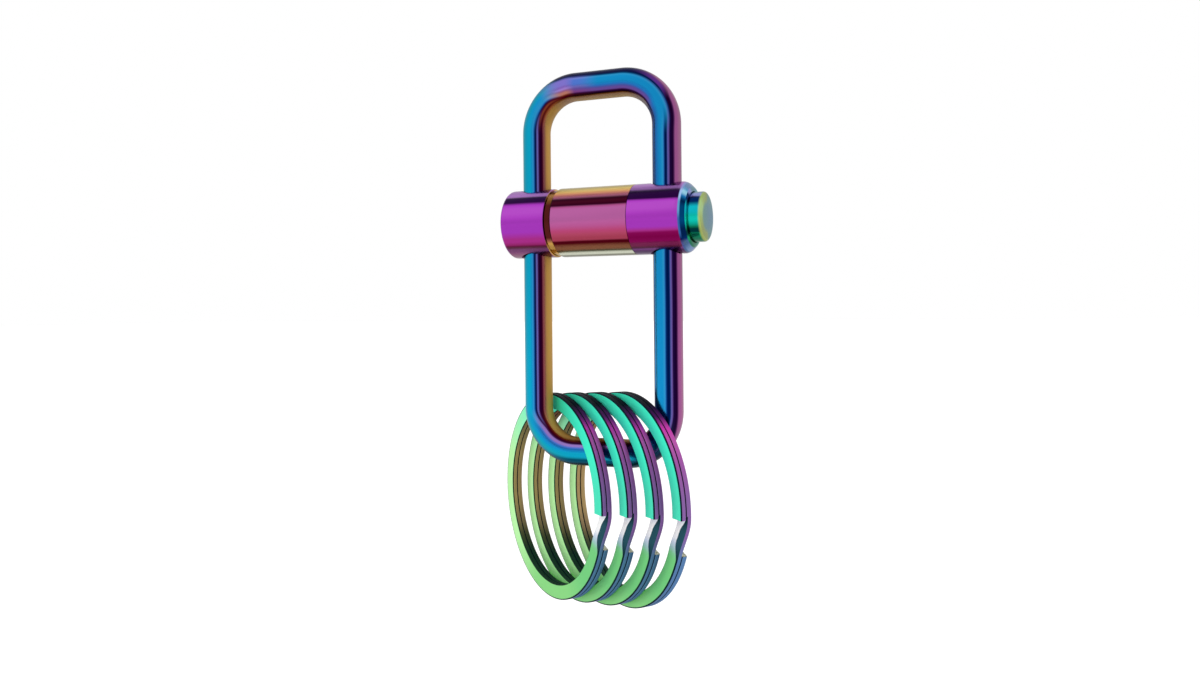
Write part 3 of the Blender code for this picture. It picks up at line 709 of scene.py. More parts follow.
def round_the_barrel(tree: Tree, drift_scale: float = 120.0,
                     drift_angle: float = 2.0) -> tuple[Socket, Socket, Socket]:
    """Reads a point's place on the barrel.

    Args:
        tree: The material's tree.
        drift_scale: The scale of the noise that the bands drift by.
        drift_angle: How far they drift, in degrees.

    Returns:
        Its place along the barrel in metres, its angle round it in degrees, 0 at the front
        and 90 at the top, and its distance from the barrel's axis in metres.
    """
    along, depth, height = tree.parts(tree.spot())
    drift = tree.noise(Scale=drift_scale, Detail=1.0) - 0.5
    rise = height - AXIS_Z
    angle = rise.angle_to(-depth) + drift * drift_angle
    reach = (depth * depth + rise * rise).root()
    return along, angle, reach


def laid_round(tree: Tree, angle: Socket, *rows: Bands) -> list[Socket]:
    """Lays rows of bands round the barrel, each as a colour of its own."""
    return [tree.ramp(angle, bands, -180, 180) for bands in rows]


@dataclass(frozen=True, kw_only=True)
class CollarFilmWithPaintedReflections(Finish):
    """The film's tints on a collar or the sleeve with painted reflections: bands round the barrel,
    and others at one end.
    """

    bands: Bands
    end_bands: Bands
    end_from: float
    end_to: float
    crease: float | None = None
    crease_width: float = 0.2 * MM
    mouth_radius: float = 0.0
    closed_end: float | None = None
    closed_blend: float = 0.5 * MM
    soft_angle: float = 51.0
    soft_edges: tuple[float, float] = (3.0, 9.0)
    soft_reach: float = 4.4 * MM

    def satin(self, tree: Tree) -> Socket:
        """The barrel is softer in the two bands that would mirror the bows' bars."""
        _, angle, reach = round_the_barrel(tree)
        band = 1 - (angle.size() - self.soft_angle).size().step(*self.soft_edges)
        return band * (reach > self.soft_reach)

    def paint(self, tree: Tree) -> Socket:
        """Lays the bands, and rings of tints on a closed end or a painted highlight line before a
        mouth.
        """
        along, angle, reach = round_the_barrel(tree)
        body, end = laid_round(tree, angle, self.bands, self.end_bands)
        colour = tree.mix(along.step(self.end_from, self.end_to), body, end)
        if self.closed_end is not None:
            cap = tree.ramp(reach, CAP_BANDS, min(CAP_BANDS), max(CAP_BANDS))
            share = along.step(self.closed_end, self.closed_end + self.closed_blend)
            colour = tree.mix(share, cap, colour)
        if self.crease is not None:
            # The crease line is a painted highlight; the mouth ring takes the button side's bands.
            line, mouth = laid_round(tree, angle, CREASE_BANDS, BUTTON_SIDE_BANDS)
            far = (along - self.crease).size().step(0.25 * self.crease_width, self.crease_width)
            colour = tree.mix(reach < self.mouth_radius, tree.mix(far, line, colour), mouth)
        return colour


@dataclass(frozen=True, kw_only=True)
class ButtonFilmWithPaintedReflections(Finish):
    """The film's tints on the button with painted reflections: bands on its side, a rim with a
    painted highlight at the front, and a cool face that goes from sage at the front to blue at the
    back.
    """

    face_x: float
    rim: float = 0.375 * MM
    rim_radius: float = 1.95 * MM
    rim_blend: float = 0.5 * MM
    side_blend: float = 0.3 * MM
    face_half: float = 1.5 * MM

    def paint(self, tree: Tree) -> Socket:
        """Lays the side's bands, the rim and the face."""
        along, angle, reach = round_the_barrel(tree)
        side, rim = laid_round(tree, angle, BUTTON_SIDE_BANDS, BUTTON_RIM_BANDS)
        start = self.face_x - self.rim
        outer = tree.mix(along.step(start, start + self.side_blend), side, rim)
        inner = 1 - reach.step(self.rim_radius - self.rim_blend, self.rim_radius + self.rim_blend)
        _, depth, _ = tree.parts(tree.spot())
        face = tree.mix(depth.share(-self.face_half, self.face_half), Tint.SAGE, Tint.FACE_BLUE)
        return tree.mix(inner * (along > start), outer, face)


# The strips' bands lie by the turn, in degrees, over nearly two turns. They are the film's tints
# with painted light: the faces' ice and white at the step are a painted highlight, the edge's
# magenta near 46 is a painted highlight and its near-black navy over the top a painted reflection
# of the next ring, and the bore darkens to near-black green along the bottom as painted shade.

FACE_BANDS: Bands = {
    -2: Tint.SOFT_MINT, 10: Tint.SOFT_MINT, 32: Tint.MINT, 88: Tint.MINT, 112: Tint.MINT,
    128: Tint.PALE_MINT, 160: Tint.PALE_GREEN, 215: Tint.PALE_GREEN, 250: Tint.LEAF,
    290: Tint.LEAF, 312: Tint.GRASS, 338: Tint.GRASS, 343: Tint.ICE, 348: Tint.WHITE,
    354: Tint.WHITE, 360: Tint.PALE_LILAC, 366: Tint.DULL_PURPLE, 420: Tint.PLUM, 520: Tint.GRAPE,
    600: Tint.LEAF, 699: Tint.GRASS}

EDGE_TURN: Bands = {
    8: Tint.EDGE_LILAC, 26: Tint.EDGE_GRAPE, 38: Tint.EDGE_ROSE, 46: Tint.EDGE_MAGENTA,
    54: Tint.EDGE_PLUM, 66: Tint.EDGE_NAVY, 100: Tint.EDGE_NAVY, 150: Tint.EDGE_STORM,
    200: Tint.EDGE_SLATE, 255: Tint.EDGE_STORM}

EDGE_BANDS: Bands = {
    -2: Tint.EDGE_LILAC, **EDGE_TURN, 290: Tint.EDGE_STORM, 315: Tint.EDGE_SLATE,
    338: Tint.EDGE_SLATE, 350: Tint.EDGE_LILAC, **shifted(EDGE_TURN, 360), 675: Tint.EDGE_SLATE,
    699: Tint.EDGE_SLATE}

BORE_TURN: Bands = {
    40: Tint.GRAPE, 80: Tint.BRONZE, 118: Tint.COCOA, 136: Tint.DRAB, 156: Tint.FAWN,
    194: Tint.FAWN, 206: Tint.DRAB, 217: Tint.MUD, 230: Tint.FOREST, 290: Tint.FOREST}

BORE_BANDS: Bands = {
    -2: Tint.PLUM, **BORE_TURN, 340: Tint.PETROL, 358: Tint.PLUM, **shifted(BORE_TURN, 360),
    699: Tint.FOREST}


@dataclass(frozen=True)
class StripFilmWithPaintedLightAndShade(Finish):
    """The film's tints on a split ring's strip, with painted highlights, reflections and shade, by
    the strip's turn and the side of its section.
    """

    half_band: float = 1.05 * MM
    half_strip: float = 0.375 * MM
    face_line: float = 0.04 * MM
    rim_line: float = 0.17 * MM
    step_line: float = 0.95 * MM
    slit_line: float = 0.8 * MM
    edge_polish: float = 0.2
    step_from: float = 336.0
    step_to: float = 360.0
    step_peak: tuple[float, float] = (346.0, 351.0)
    turns: tuple[float, float] = (-10.0, 710.0)

    def place(self, tree: Tree) -> tuple[Socket, Socket, Socket]:
        """Reads a point's turn and how far out and to the front it lies in the section."""
        turn = tree.add("ShaderNodeAttribute", settings={"attribute_name": "turn"}, out="Fac")
        section = tree.add("ShaderNodeAttribute", settings={"attribute_name": "section"},
                           out="Vector")
        out, back, _ = tree.parts(section)
        return turn, out, -back

    def satin(self, tree: Tree) -> Socket:
        """All of the strip is satin, and its outer edge a little less."""
        _, out, _ = self.place(tree)
        return 1 - (out > (self.half_band - self.face_line)) * self.edge_polish

    def paint(self, tree: Tree) -> Socket:
        """Lays the two faces, the outer edge and the bore, with painted shade: a dark line at the
        front rims that widens at the step, a dark line at the inner front rim and dark in the slit.
        """
        turn, out, front = self.place(tree)
        face, edge, bore = (tree.ramp(turn, bands, *self.turns)
                            for bands in (FACE_BANDS, EDGE_BANDS, BORE_BANDS))
        on_edge = out > (self.half_band - self.face_line)
        on_bore = out < -(self.half_band - self.face_line)
        colour = tree.mix(on_edge, tree.mix(on_bore, face, bore), edge)
        # Painted shade: a dark line along the front rims that widens into a dark sliver where the
        # strip steps over, and a dark green line along the inner front rim.
        rise, fall = self.step_peak
        bump = turn.step(self.step_from, rise) * (1 - turn.step(fall, self.step_to))
        width = bump * self.step_line + self.rim_line
        facing = (front > (self.half_strip - self.rim_line)) * (turn < self.step_to)
        outer_rim_shade = (out > (self.half_band - width)) * facing
        inner_rim_shade = (out < (self.rim_line * 0.5 - self.half_band)) * facing
        dark = tree.mix(bump, Tint.BLACK_TEAL, Tint.MARINE)
        colour = tree.mix(outer_rim_shade, colour, dark)
        colour = tree.mix(inner_rim_shade, colour, Tint.FOREST)
        # Painted shade in the slit between the two layers.
        second = turn > self.step_to
        inward = front * (second * 2 - 1)
        slit = (inward > (self.half_strip - self.face_line)) * (out.size() > self.slit_line)
        return tree.mix(slit, colour, Tint.BLACK_TEAL)


@dataclass(frozen=True)
class CutEndFilm(Finish):
    """The sheared end of a split ring's strip."""

    marks: float = 5200.0
    mark_range: tuple[float, float] = (0.35, 0.65)

    def paint(self, tree: Tree) -> Socket:
        """Lays a grey-green with fine shear marks across it."""
        marks = tree.noise(Scale=self.marks, Detail=2.0)
        return tree.mix(marks.share(*self.mark_range), Tint.MOSS, Tint.CREAM)


@dataclass(frozen=True)
class BareSteel(Finish):
    """The plain steel inside the barrel, turned or drawn, with fine marks along one axis."""

    marks: tuple[float, float, float] = (9000.0, 300.0, 300.0)
    mark_range: tuple[float, float] = (0.3, 0.7)

    def paint(self, tree: Tree) -> Socket:
        """Lays two greys in fine streaks."""
        drawn_out = tree.add("ShaderNodeMapping", Vector=tree.spot(), Scale=self.marks)
        streaks = tree.noise(drawn_out, Scale=1.0, Detail=2.0)
        return tree.mix(streaks.share(*self.mark_range), Tint.DARK_STEEL, Tint.STEEL)


def sweep_tree(name: str, profile: Callable[[Tree, dict[str, Socket]], Socket], capped: bool,
               sizes: dict[str, str]) -> bpy.types.NodeTree:
    """Builds the Geometry Nodes tree that sweeps a section along a path.

    Args:
        name: The tree's name.
        profile: Draws the section, with its own attributes, from the tree's inputs.
        capped: Whether the sweep's ends are closed with flat caps.
        sizes: The section's inputs by name, each with Float or Int for its kind.

    Returns:
        The tree. Its path is a chain of vertices in the XY plane with the attributes stage
        and girth, and its last inputs turn it, move it and give it its finish.
    """
    group = bpy.data.node_groups.new(name, "GeometryNodeTree")
    kinds = {"Path": "Geometry", **sizes, "Turn": "Vector", "Place": "Vector",
             "Finish": "Material"}
    for label, kind in kinds.items():
        group.interface.new_socket(label, in_out="INPUT", socket_type=f"NodeSocket{kind}")
    group.interface.new_socket("Solid", in_out="OUTPUT", socket_type="NodeSocketGeometry")
    tree = Tree(group)
    entry = group.nodes.new("NodeGroupInput")
    inputs = {socket.name: Socket(tree, socket) for socket in entry.outputs if socket.name}
    line = tree.add("GeometryNodeMeshToCurve", inputs["Path"])
    line = tree.add("GeometryNodeSetCurveNormal", line, settings={"mode": "Z_UP"})
    solid = tree.add("GeometryNodeCurveToMesh", line, profile(tree, inputs),
                     Scale=tree.recall("girth"), Fill_Caps=capped)
    film = tree.add("ShaderNodeCombineXYZ", tree.recall("across"), tree.recall("stage"))
    solid = tree.keep(solid, "film", film, "FLOAT2", "CORNER")
    solid = tree.add("GeometryNodeMergeByDistance", Geometry=solid, Distance=WELD)
    solid = tree.add("GeometryNodeTransform", Geometry=solid, Translation=inputs["Place"],
                     Rotation=inputs["Turn"])
    solid = tree.add("GeometryNodeSetShadeSmooth", Geometry=solid)
    solid = tree.add("GeometryNodeRealizeInstances", solid)
    solid = tree.add("GeometryNodeSetMaterial", Geometry=solid, Material=inputs["Finish"])
    leave = group.nodes.new("NodeGroupOutput")
    group.links.new(solid.link, leave.inputs[0])
    return group


def round_profile(tree: Tree, inputs: dict[str, Socket]) -> Socket:
    """Draws a rod's round section as an open turn, so that its map has a clean seam.

    Args:
        tree: The sweep's tree.
        inputs: The tree's inputs: Rod Radius, Seam, Way and Sides.

    Returns:
        The section, with the attribute across from 0 to 1.
    """
    ring = tree.add("GeometryNodeCurveArc", Resolution=inputs["Sides"],
                    Radius=inputs["Rod Radius"], Start_Angle=inputs["Seam"],
                    Sweep_Angle=inputs["Way"], settings={"mode": "RADIUS"})
    share = tree.add("GeometryNodeSplineParameter", out="Factor")
    return tree.keep(ring, "across", share, "FLOAT", "POINT")


def strip_profile(tree: Tree, inputs: dict[str, Socket]) -> Socket:
    """Draws a strip's flat section with eased edges.

    Args:
        tree: The sweep's tree.
        inputs: The tree's inputs: Band, Strip and Edge Radius.

    Returns:
        The section, with its own place kept in the attribute section.
    """
    flat = tree.add("GeometryNodeCurvePrimitiveQuadrilateral", Width=inputs["Band"],
                    Height=inputs["Strip"], settings={"mode": "RECTANGLE"})
    eased = tree.add("GeometryNodeFilletCurve", Curve=flat, Radius=inputs["Edge Radius"],
                     Count=3, settings={"mode": "POLY"})
    place = tree.add("GeometryNodeInputPosition")
    return tree.keep(eased, "section", place, "FLOAT_VECTOR", "POINT")


def put(name: str, data: bpy.types.ID) -> bpy.types.Object:
    """Puts a mesh, a lamp or a camera in the scene as an object of its own."""
    made = bpy.data.objects.new(name, data)
    bpy.context.scene.collection.objects.link(made)
    return made


def applied(piece: bpy.types.Object) -> bpy.types.Mesh:
    """Makes a plain mesh of a piece with its modifiers applied."""
    evaluated = piece.evaluated_get(bpy.context.evaluated_depsgraph_get())
    return bpy.data.meshes.new_from_object(evaluated)


def filled(name: str, bm: bmesh.types.BMesh) -> bpy.types.Mesh:
    """Turns a finished bmesh into a mesh and frees it."""
    mesh = bpy.data.meshes.new(name)
    bm.to_mesh(mesh)
    bm.free()
    return mesh


def path_object(name: str, points: Sequence[Vector], stages: Sequence[float],
                girths: Sequence[float]) -> bpy.types.Object:
    """Makes the chain of vertices that a sweep follows.

    Args:
        name: The object's name.
        points: The path's points.
        stages: Each point's place on the film's map.
        girths: Each point's share of the section's size.

    Returns:
        The object.
    """
    mesh = bpy.data.meshes.new(name)
    mesh.from_pydata(points, [(k, k + 1) for k in range(len(points) - 1)], [])
    for label, values in (("stage", stages), ("girth", girths)):
        layer = mesh.attributes.new(label, "FLOAT", "POINT")
        layer.data.foreach_set("value", values)
    return put(name, mesh)


def grow(path: bpy.types.Object, group: bpy.types.NodeTree, name: str,
         **inputs: Any) -> bpy.types.Object:
    """Runs a Geometry Nodes tree on a path and keeps the result as a plain mesh.

    Args:
        path: The path, which is removed.
        group: The tree.
        name: The piece's name.
        inputs: The tree's inputs by name, with _ for a space.

    Returns:
        The piece.
    """
    modifier = path.modifiers.new(group.name, "NODES")
    modifier.node_group = group
    for item in group.interface.items_tree:
        key = item.name.replace(" ", "_")
        if item.in_out == "INPUT" and key in inputs:
            modifier[item.identifier] = inputs[key]
    mesh = applied(path)
    mesh.name = name
    bpy.data.objects.remove(path)
    return put(name, mesh)


def settle(piece: bpy.types.Object, sharp: float = 30.0) -> None:
    """Turns a piece's faces outwards and sets its sharp edges.

    Args:
        piece: The piece.
        sharp: The angle in degrees past which an edge is sharp.
    """
    bm = bmesh.new()
    bm.from_mesh(piece.data)
    bmesh.ops.recalc_face_normals(bm, faces=bm.faces)
    bm.to_mesh(piece.data)
    bm.free()
    piece.data.shade_smooth()
    piece.data.set_sharp_from_angle(angle=math.radians(sharp))


def seat(piece: bpy.types.Object, body: str, node: str) -> None:
    """Puts a finished piece in its CAD node's place on its body.

    Args:
        piece: The piece.
        body: The body that it rides on.
        node: The CAD node that it stands for.
    """
    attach(piece, body)
    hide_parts(node)
    LOG.info("%s rides on %s in place of %s: %d faces", piece.name, body, node,
             len(piece.data.polygons))


@dataclass
class Bow:
    """A U of round rod, with its two leg ends in the barrel.

    The bar's centre line, the leg ends and the neck are measured from the barrel's axis.
    """

    name: str
    body: str
    way: Way
    bar: float
    corner: float
    film: RodFilmWithPaintedReflections
    rod_radius: float = 2.0 * MM
    leg_end: float = 0.9 * MM
    end_chamfer: float = 0.35 * MM
    neck: tuple[float, float] | None = None
    neck_radius: float = 1.3 * MM
    plain_start: float = 4 * MM
    corner_steps: int = 36
    sides: int = 97
    hairline: float = 0.004 * MM
    stretches: int = 5

    def half_path(self) -> list[tuple[Vector, float, float]]:
        """Follows the left leg and its corner to the bar.

        Returns:
            Points in the XY plane, with Y away from the barrel, and each one's stage and
            share of the rod's radius.
        """
        end = 1 - self.end_chamfer / self.rod_radius
        heights = [(0.0, 0.0), (self.hairline, end), (self.end_chamfer, 1.0)]
        if self.neck:
            thin = self.neck_radius / self.rod_radius
            low, high = (height - self.leg_end for height in self.neck)
            heights += [(low, 1.0), (low + self.hairline, thin), (high - self.hairline, thin),
                        (high, 1.0)]
        start = self.bar - self.corner
        leg = start - self.leg_end
        heights += [(height, 1.0) for height in (self.plain_start, leg - self.hairline)]
        path = [(Vector((-LEG_X, self.leg_end + height, 0)), height / leg, share)
                for height, share in heights]
        for k in range(self.corner_steps + 1):
            turn = math.pi / 2 * k / self.corner_steps
            path.append((Vector((-LEG_X + self.corner * (1 - math.cos(turn)),
                                 start + self.corner * math.sin(turn), 0)),
                         1 + k / self.corner_steps, 1.0))
        return path

    def build(self, group: bpy.types.NodeTree) -> bpy.types.Object:
        """Sweeps the rod.

        Args:
            group: The rod's Geometry Nodes tree.

        Returns:
            The piece.
        """
        half = self.half_path()
        path = half + [(Vector((-point.x, point.y, 0)), self.stretches - stage, share)
                       for point, stage, share in reversed(half)]
        chain = path_object(self.name, *zip(*path))
        quarter = math.pi / 2 * self.way.value
        piece = grow(chain, group, self.name, Rod_Radius=self.rod_radius, Sides=self.sides,
                     Seam=quarter, Way=4 * quarter, Turn=(quarter, 0.0, 0.0),
                     Place=(0.0, 0.0, AXIS_Z), Finish=self.film.material())
        settle(piece)
        return piece


@dataclass
class Turned:
    """A piece turned about the barrel's axis, with eased edges and holes for the legs.

    Each corner of the outline is its place along the barrel, its radius and the radius that
    rounds it. Each hole is its place along the barrel.
    """

    name: str
    node: str
    body: str
    slot: Slot
    outline: Sequence[tuple[float, float, float]]
    finish: Finish
    holes: Sequence[float] = ()
    hole_radius: float = 2.3 * MM
    hole_sides: int = 128
    drill_length: float = 14 * MM
    sides: int = 192
    ease_steps: int = 7

    def eased(self) -> list[tuple[float, float]]:
        """Rounds each corner of the outline by its own radius.

        Returns:
            The (x, radius) points.
        """
        count = len(self.outline)
        points: list[tuple[float, float]] = []
        for k, (x, radius, ease) in enumerate(self.outline):
            here = Vector((x, radius))
            if not ease:
                points.append((x, radius))
                continue
            before = Vector(self.outline[k - 1][:2]) - here
            after = Vector(self.outline[(k + 1) % count][:2]) - here
            before.normalize()
            after.normalize()
            half = before.angle(after) / 2
            middle = here + (before + after).normalized() * (ease / math.sin(half))
            start = here + before * (ease / math.tan(half)) - middle
            finish = here + after * (ease / math.tan(half)) - middle
            sweep = math.pi - 2 * half
            for step in range(self.ease_steps + 1):
                turn = sweep * step / self.ease_steps
                spoke = start * math.sin(sweep - turn) + finish * math.sin(turn)
                points.append(tuple(middle + spoke / math.sin(sweep)))
        return points

    def build(self) -> bpy.types.Object:
        """Turns the outline and bores the holes.

        Returns:
            The piece.
        """
        bm = bmesh.new()
        rings = []
        for x, radius in self.eased():
            if radius == 0:
                rings.append([bm.verts.new((x, 0, AXIS_Z))])
                continue
            turns = (math.tau * k / self.sides for k in range(self.sides))
            rings.append([bm.verts.new((x, radius * math.cos(turn),
                                        AXIS_Z + radius * math.sin(turn))) for turn in turns])
        closed = self.outline[0][1] != 0
        for near, far in zip(rings, rings[1:] + (rings[:1] if closed else [])):
            for k in range(self.sides):
                corners = [near[k % len(near)], near[(k + 1) % len(near)],
                           far[(k + 1) % len(far)], far[k % len(far)]]
                bm.faces.new(list(dict.fromkeys(corners)))
        bmesh.ops.remove_doubles(bm, verts=bm.verts, dist=WELD / 2)
        bmesh.ops.recalc_face_normals(bm, faces=bm.faces)
        piece = put(self.name, filled(self.name, bm))
        for x in self.holes:
            self.bore(piece, x)
        piece.data.materials.clear()
        piece.data.materials.append(self.finish.material())
        settle(piece)
        return piece

    def bore(self, piece: bpy.types.Object, x: float) -> None:
        """Bores one upright hole right through.

        Args:
            piece: The turned piece.
            x: The hole's place along the barrel.
        """
        bm = bmesh.new()
        bmesh.ops.create_cone(bm, cap_ends=True, segments=self.hole_sides,
                              radius1=self.hole_radius, radius2=self.hole_radius,
                              depth=self.drill_length, matrix=Matrix.Translation((x, 0, AXIS_Z)))
        drill = put("bore", filled("bore", bm))
        modifier = piece.modifiers.new("bore", "BOOLEAN")
        modifier.operation = "DIFFERENCE"
        modifier.object = drill
        bored = applied(piece)
        piece.modifiers.clear()
        piece.data = bored
        bpy.data.objects.remove(drill)


@dataclass
class SplitRing:
    """One flat strip wound nearly twice round, stepping from its front layer to its back one.

    The cuts and the step are angles of the turn, in degrees.
    """

    number: int
    centre: tuple[float, float, float]
    yaw: float
    outer_radius: float = 15.0 * MM
    band: float = 2.1 * MM
    strip: float = 0.75 * MM
    slit: float = 0.1 * MM
    edge_radius: float = 0.09 * MM
    front_cut: float = -2.0
    step_start: float = 340.0
    step_end: float = 358.0
    back_cut: float = 699.0
    degrees_per_step: float = 2.0
    sharp: float = 50.0

    def build(self, group: bpy.types.NodeTree, finish: bpy.types.Material,
              end_finish: bpy.types.Material) -> bpy.types.Object:
        """Winds the strip.

        Args:
            group: The strip's Geometry Nodes tree.
            finish: The strip's material.
            end_finish: The material of its two cut ends.

        Returns:
            The piece.
        """
        middle = self.outer_radius - self.band / 2
        lift = (self.strip + self.slit) / 2
        steps = round((self.back_cut - self.front_cut) / self.degrees_per_step)
        points, turns = [], []
        for k in range(steps + 1):
            degrees = self.front_cut + (self.back_cut - self.front_cut) * k / steps
            share = (degrees - self.step_start) / (self.step_end - self.step_start)
            share = min(max(share, 0.0), 1.0)
            turn = math.radians(degrees)
            height = lift * (1 - 2 * share * share * (3 - 2 * share))
            points.append(Vector((middle * math.cos(turn), middle * math.sin(turn), height)))
            turns.append(degrees)
        name = f"split_ring_{self.number}_strip"
        chain = path_object(name, points, turns, [1.0] * len(points))
        piece = grow(chain, group, name, Band=self.band, Strip=self.strip,
                     Edge_Radius=self.edge_radius,
                     Turn=(math.radians(90.0), 0.0, -self.yaw), Place=self.centre,
                     Finish=finish)
        piece.data.attributes["stage"].name = "turn"
        piece.data.materials.append(end_finish)
        # Only the caps on the two cut ends have more than four corners.
        for polygon in piece.data.polygons:
            if len(polygon.vertices) > 4:
                polygon.material_index = 1
        settle(piece, self.sharp)
        return piece


@dataclass
class Studio:
    """The pale room, its lamps and the camera."""

    floor_z: float = -0.115
    floor_size: float = 6.0
    floor_grey: float = 0.8
    floor_roughness: float = 0.9
    floor_glow: float = 0.32
    room_light: float = 1.05
    room_seen: float = 1.0
    room_mirrored: float = 0.95
    sensor: float = 36.0
    focal_share: float = 985.686 / 1200
    camera_place: tuple[float, float, float] = (53.591 * MM, -128.407 * MM, -29.629 * MM)
    yaw: float = 0.396983
    pitch: float = 0.001243
    roll: float = 0.009026
    shift_y: float = -30 / 1200
    lamp_aim: tuple[float, float, float] = (0.0, 0.0, -0.03)
    lamps: tuple[tuple[tuple[float, float, float], float, float], ...] = (
        ((-1.1, -1.2, 1.1), 1.6, 1.0), ((1.2, -0.9, 0.6), 1.2, 0.4), ((0.0, 1.3, 1.2), 1.6, 0.8))

    def camera(self) -> None:
        """Places the camera where the photograph was taken from."""
        data = bpy.data.cameras.new("camera")
        data.sensor_width = self.sensor
        data.lens = self.sensor * self.focal_share
        data.shift_y = self.shift_y
        data.clip_start = 1 * MM
        eye = put("camera", data)
        eye.matrix_world = (Matrix.Translation(self.camera_place)
                            @ Matrix.Rotation(self.yaw, 4, "Z")
                            @ Matrix.Rotation(math.pi / 2 + self.pitch, 4, "X")
                            @ Matrix.Rotation(-self.roll, 4, "Z"))
        bpy.context.scene.camera = eye

    def floor(self) -> None:
        """Lays a white floor that keeps the object's shadow."""
        bm = bmesh.new()
        bmesh.ops.create_grid(bm, x_segments=1, y_segments=1, size=self.floor_size)
        bmesh.ops.translate(bm, verts=bm.verts, vec=(0, 0, self.floor_z))
        ground = put("floor", filled("floor", bm))
        material = bpy.data.materials.new("floor_white")
        material.use_nodes = True
        tree = Tree(material.node_tree)
        shader = material.node_tree.nodes["Principled BSDF"]
        shader.inputs["Base Color"].default_value = (*[self.floor_grey] * 3, 1.0)
        shader.inputs["Roughness"].default_value = self.floor_roughness
        shader.inputs["Emission Color"].default_value = (1.0, 1.0, 1.0, 1.0)
        seen, glossy = tree.rays()
        glow = (seen + glossy) * self.floor_glow
        material.node_tree.links.new(glow.link, shader.inputs["Emission Strength"])
        ground.data.materials.append(material)

    def world(self) -> None:
        """Makes the room white to the camera and in reflections, and softer as light."""
        world = bpy.data.worlds.new("studio")
        world.use_nodes = True
        bpy.context.scene.world = world
        tree = Tree(world.node_tree)
        background = world.node_tree.nodes["Background"]
        background.inputs["Color"].default_value = (1.0, 1.0, 1.0, 1.0)
        seen, glossy = tree.rays()
        strength = (seen * (self.room_seen - self.room_light)
                    + glossy * (self.room_mirrored - self.room_light) + self.room_light)
        world.node_tree.links.new(strength.link, background.inputs["Strength"])

    def lights(self) -> None:
        """Hangs the soft lamps."""
        for number, (place, size, power) in enumerate(self.lamps, 1):
            data = bpy.data.lights.new(f"softbox_{number}", "AREA")
            data.size = size
            data.energy = power
            lamp = put(data.name, data)
            lamp.location = place
            aim = Vector(self.lamp_aim) - Vector(place)
            lamp.rotation_euler = aim.to_track_quat("-Z", "Y").to_euler()

    def build(self) -> None:
        """Sets the whole studio up."""
        bpy.context.scene.view_settings.view_transform = "Standard"
        self.camera()
        self.floor()
        self.world()
        self.lights()


@dataclass
class Bows:
    """The short upper bow and the long lower bow, which make the loop."""

    upper_bar: float = 19.3 * MM
    upper_corner: float = 6.35 * MM
    lower_bar: float = 32.6 * MM
    lower_corner: float = 6.2 * MM
    neck: tuple[float, float] = (1.4 * MM, 2.6 * MM)

    def upper(self) -> Bow:
        """Sizes the upper bow and lays out its film with painted reflections."""
        film = RodFilmWithPaintedReflections("upper_bow_film", first=LEFT_LEG.turned(6), changes=(
            (0.95, 1.42, LEFT_BEND), (1.48, 1.84, ROSE_BEND), (1.88, 2.08, LILAC_BAR),
            (2.1, 2.6, TOP_BAR), (3.1, 3.5, RIGHT_BEND), (3.52, 3.74, RIGHT_TURN),
            (3.74, 4.16, RIGHT_LEG.turned(3.5))))
        return Bow("upper_bow_rod", "clip_body", Way.UP, self.upper_bar, self.upper_corner, film)

    def lower(self) -> Bow:
        """Sizes the lower bow, whose leg ends are necked, and lays out its film with painted
        reflections.
        """
        film = RodFilmWithPaintedReflections("lower_bow_film", first=LEFT_LEG.turned(-1), changes=(
            (1.0, 1.42, LOWER_BEND), (1.5, 2.0, BOTTOM_BAR), (3.0, 4.0, LOWER_RIGHT_LEG)))
        return Bow("lower_bow_rod", "lower_bow_body", Way.DOWN, self.lower_bar,
                   self.lower_corner, film, neck=self.neck)

    def build(self) -> None:
        """Sweeps both bows."""
        group = sweep_tree("rod_sweep", round_profile, False, {
            "Rod Radius": "Float", "Seam": "Float", "Way": "Float", "Sides": "Int"})
        for bow, node in ((self.upper(), "upper_bow"), (self.lower(), "lower_bow")):
            seat(bow.build(group), bow.body, node)


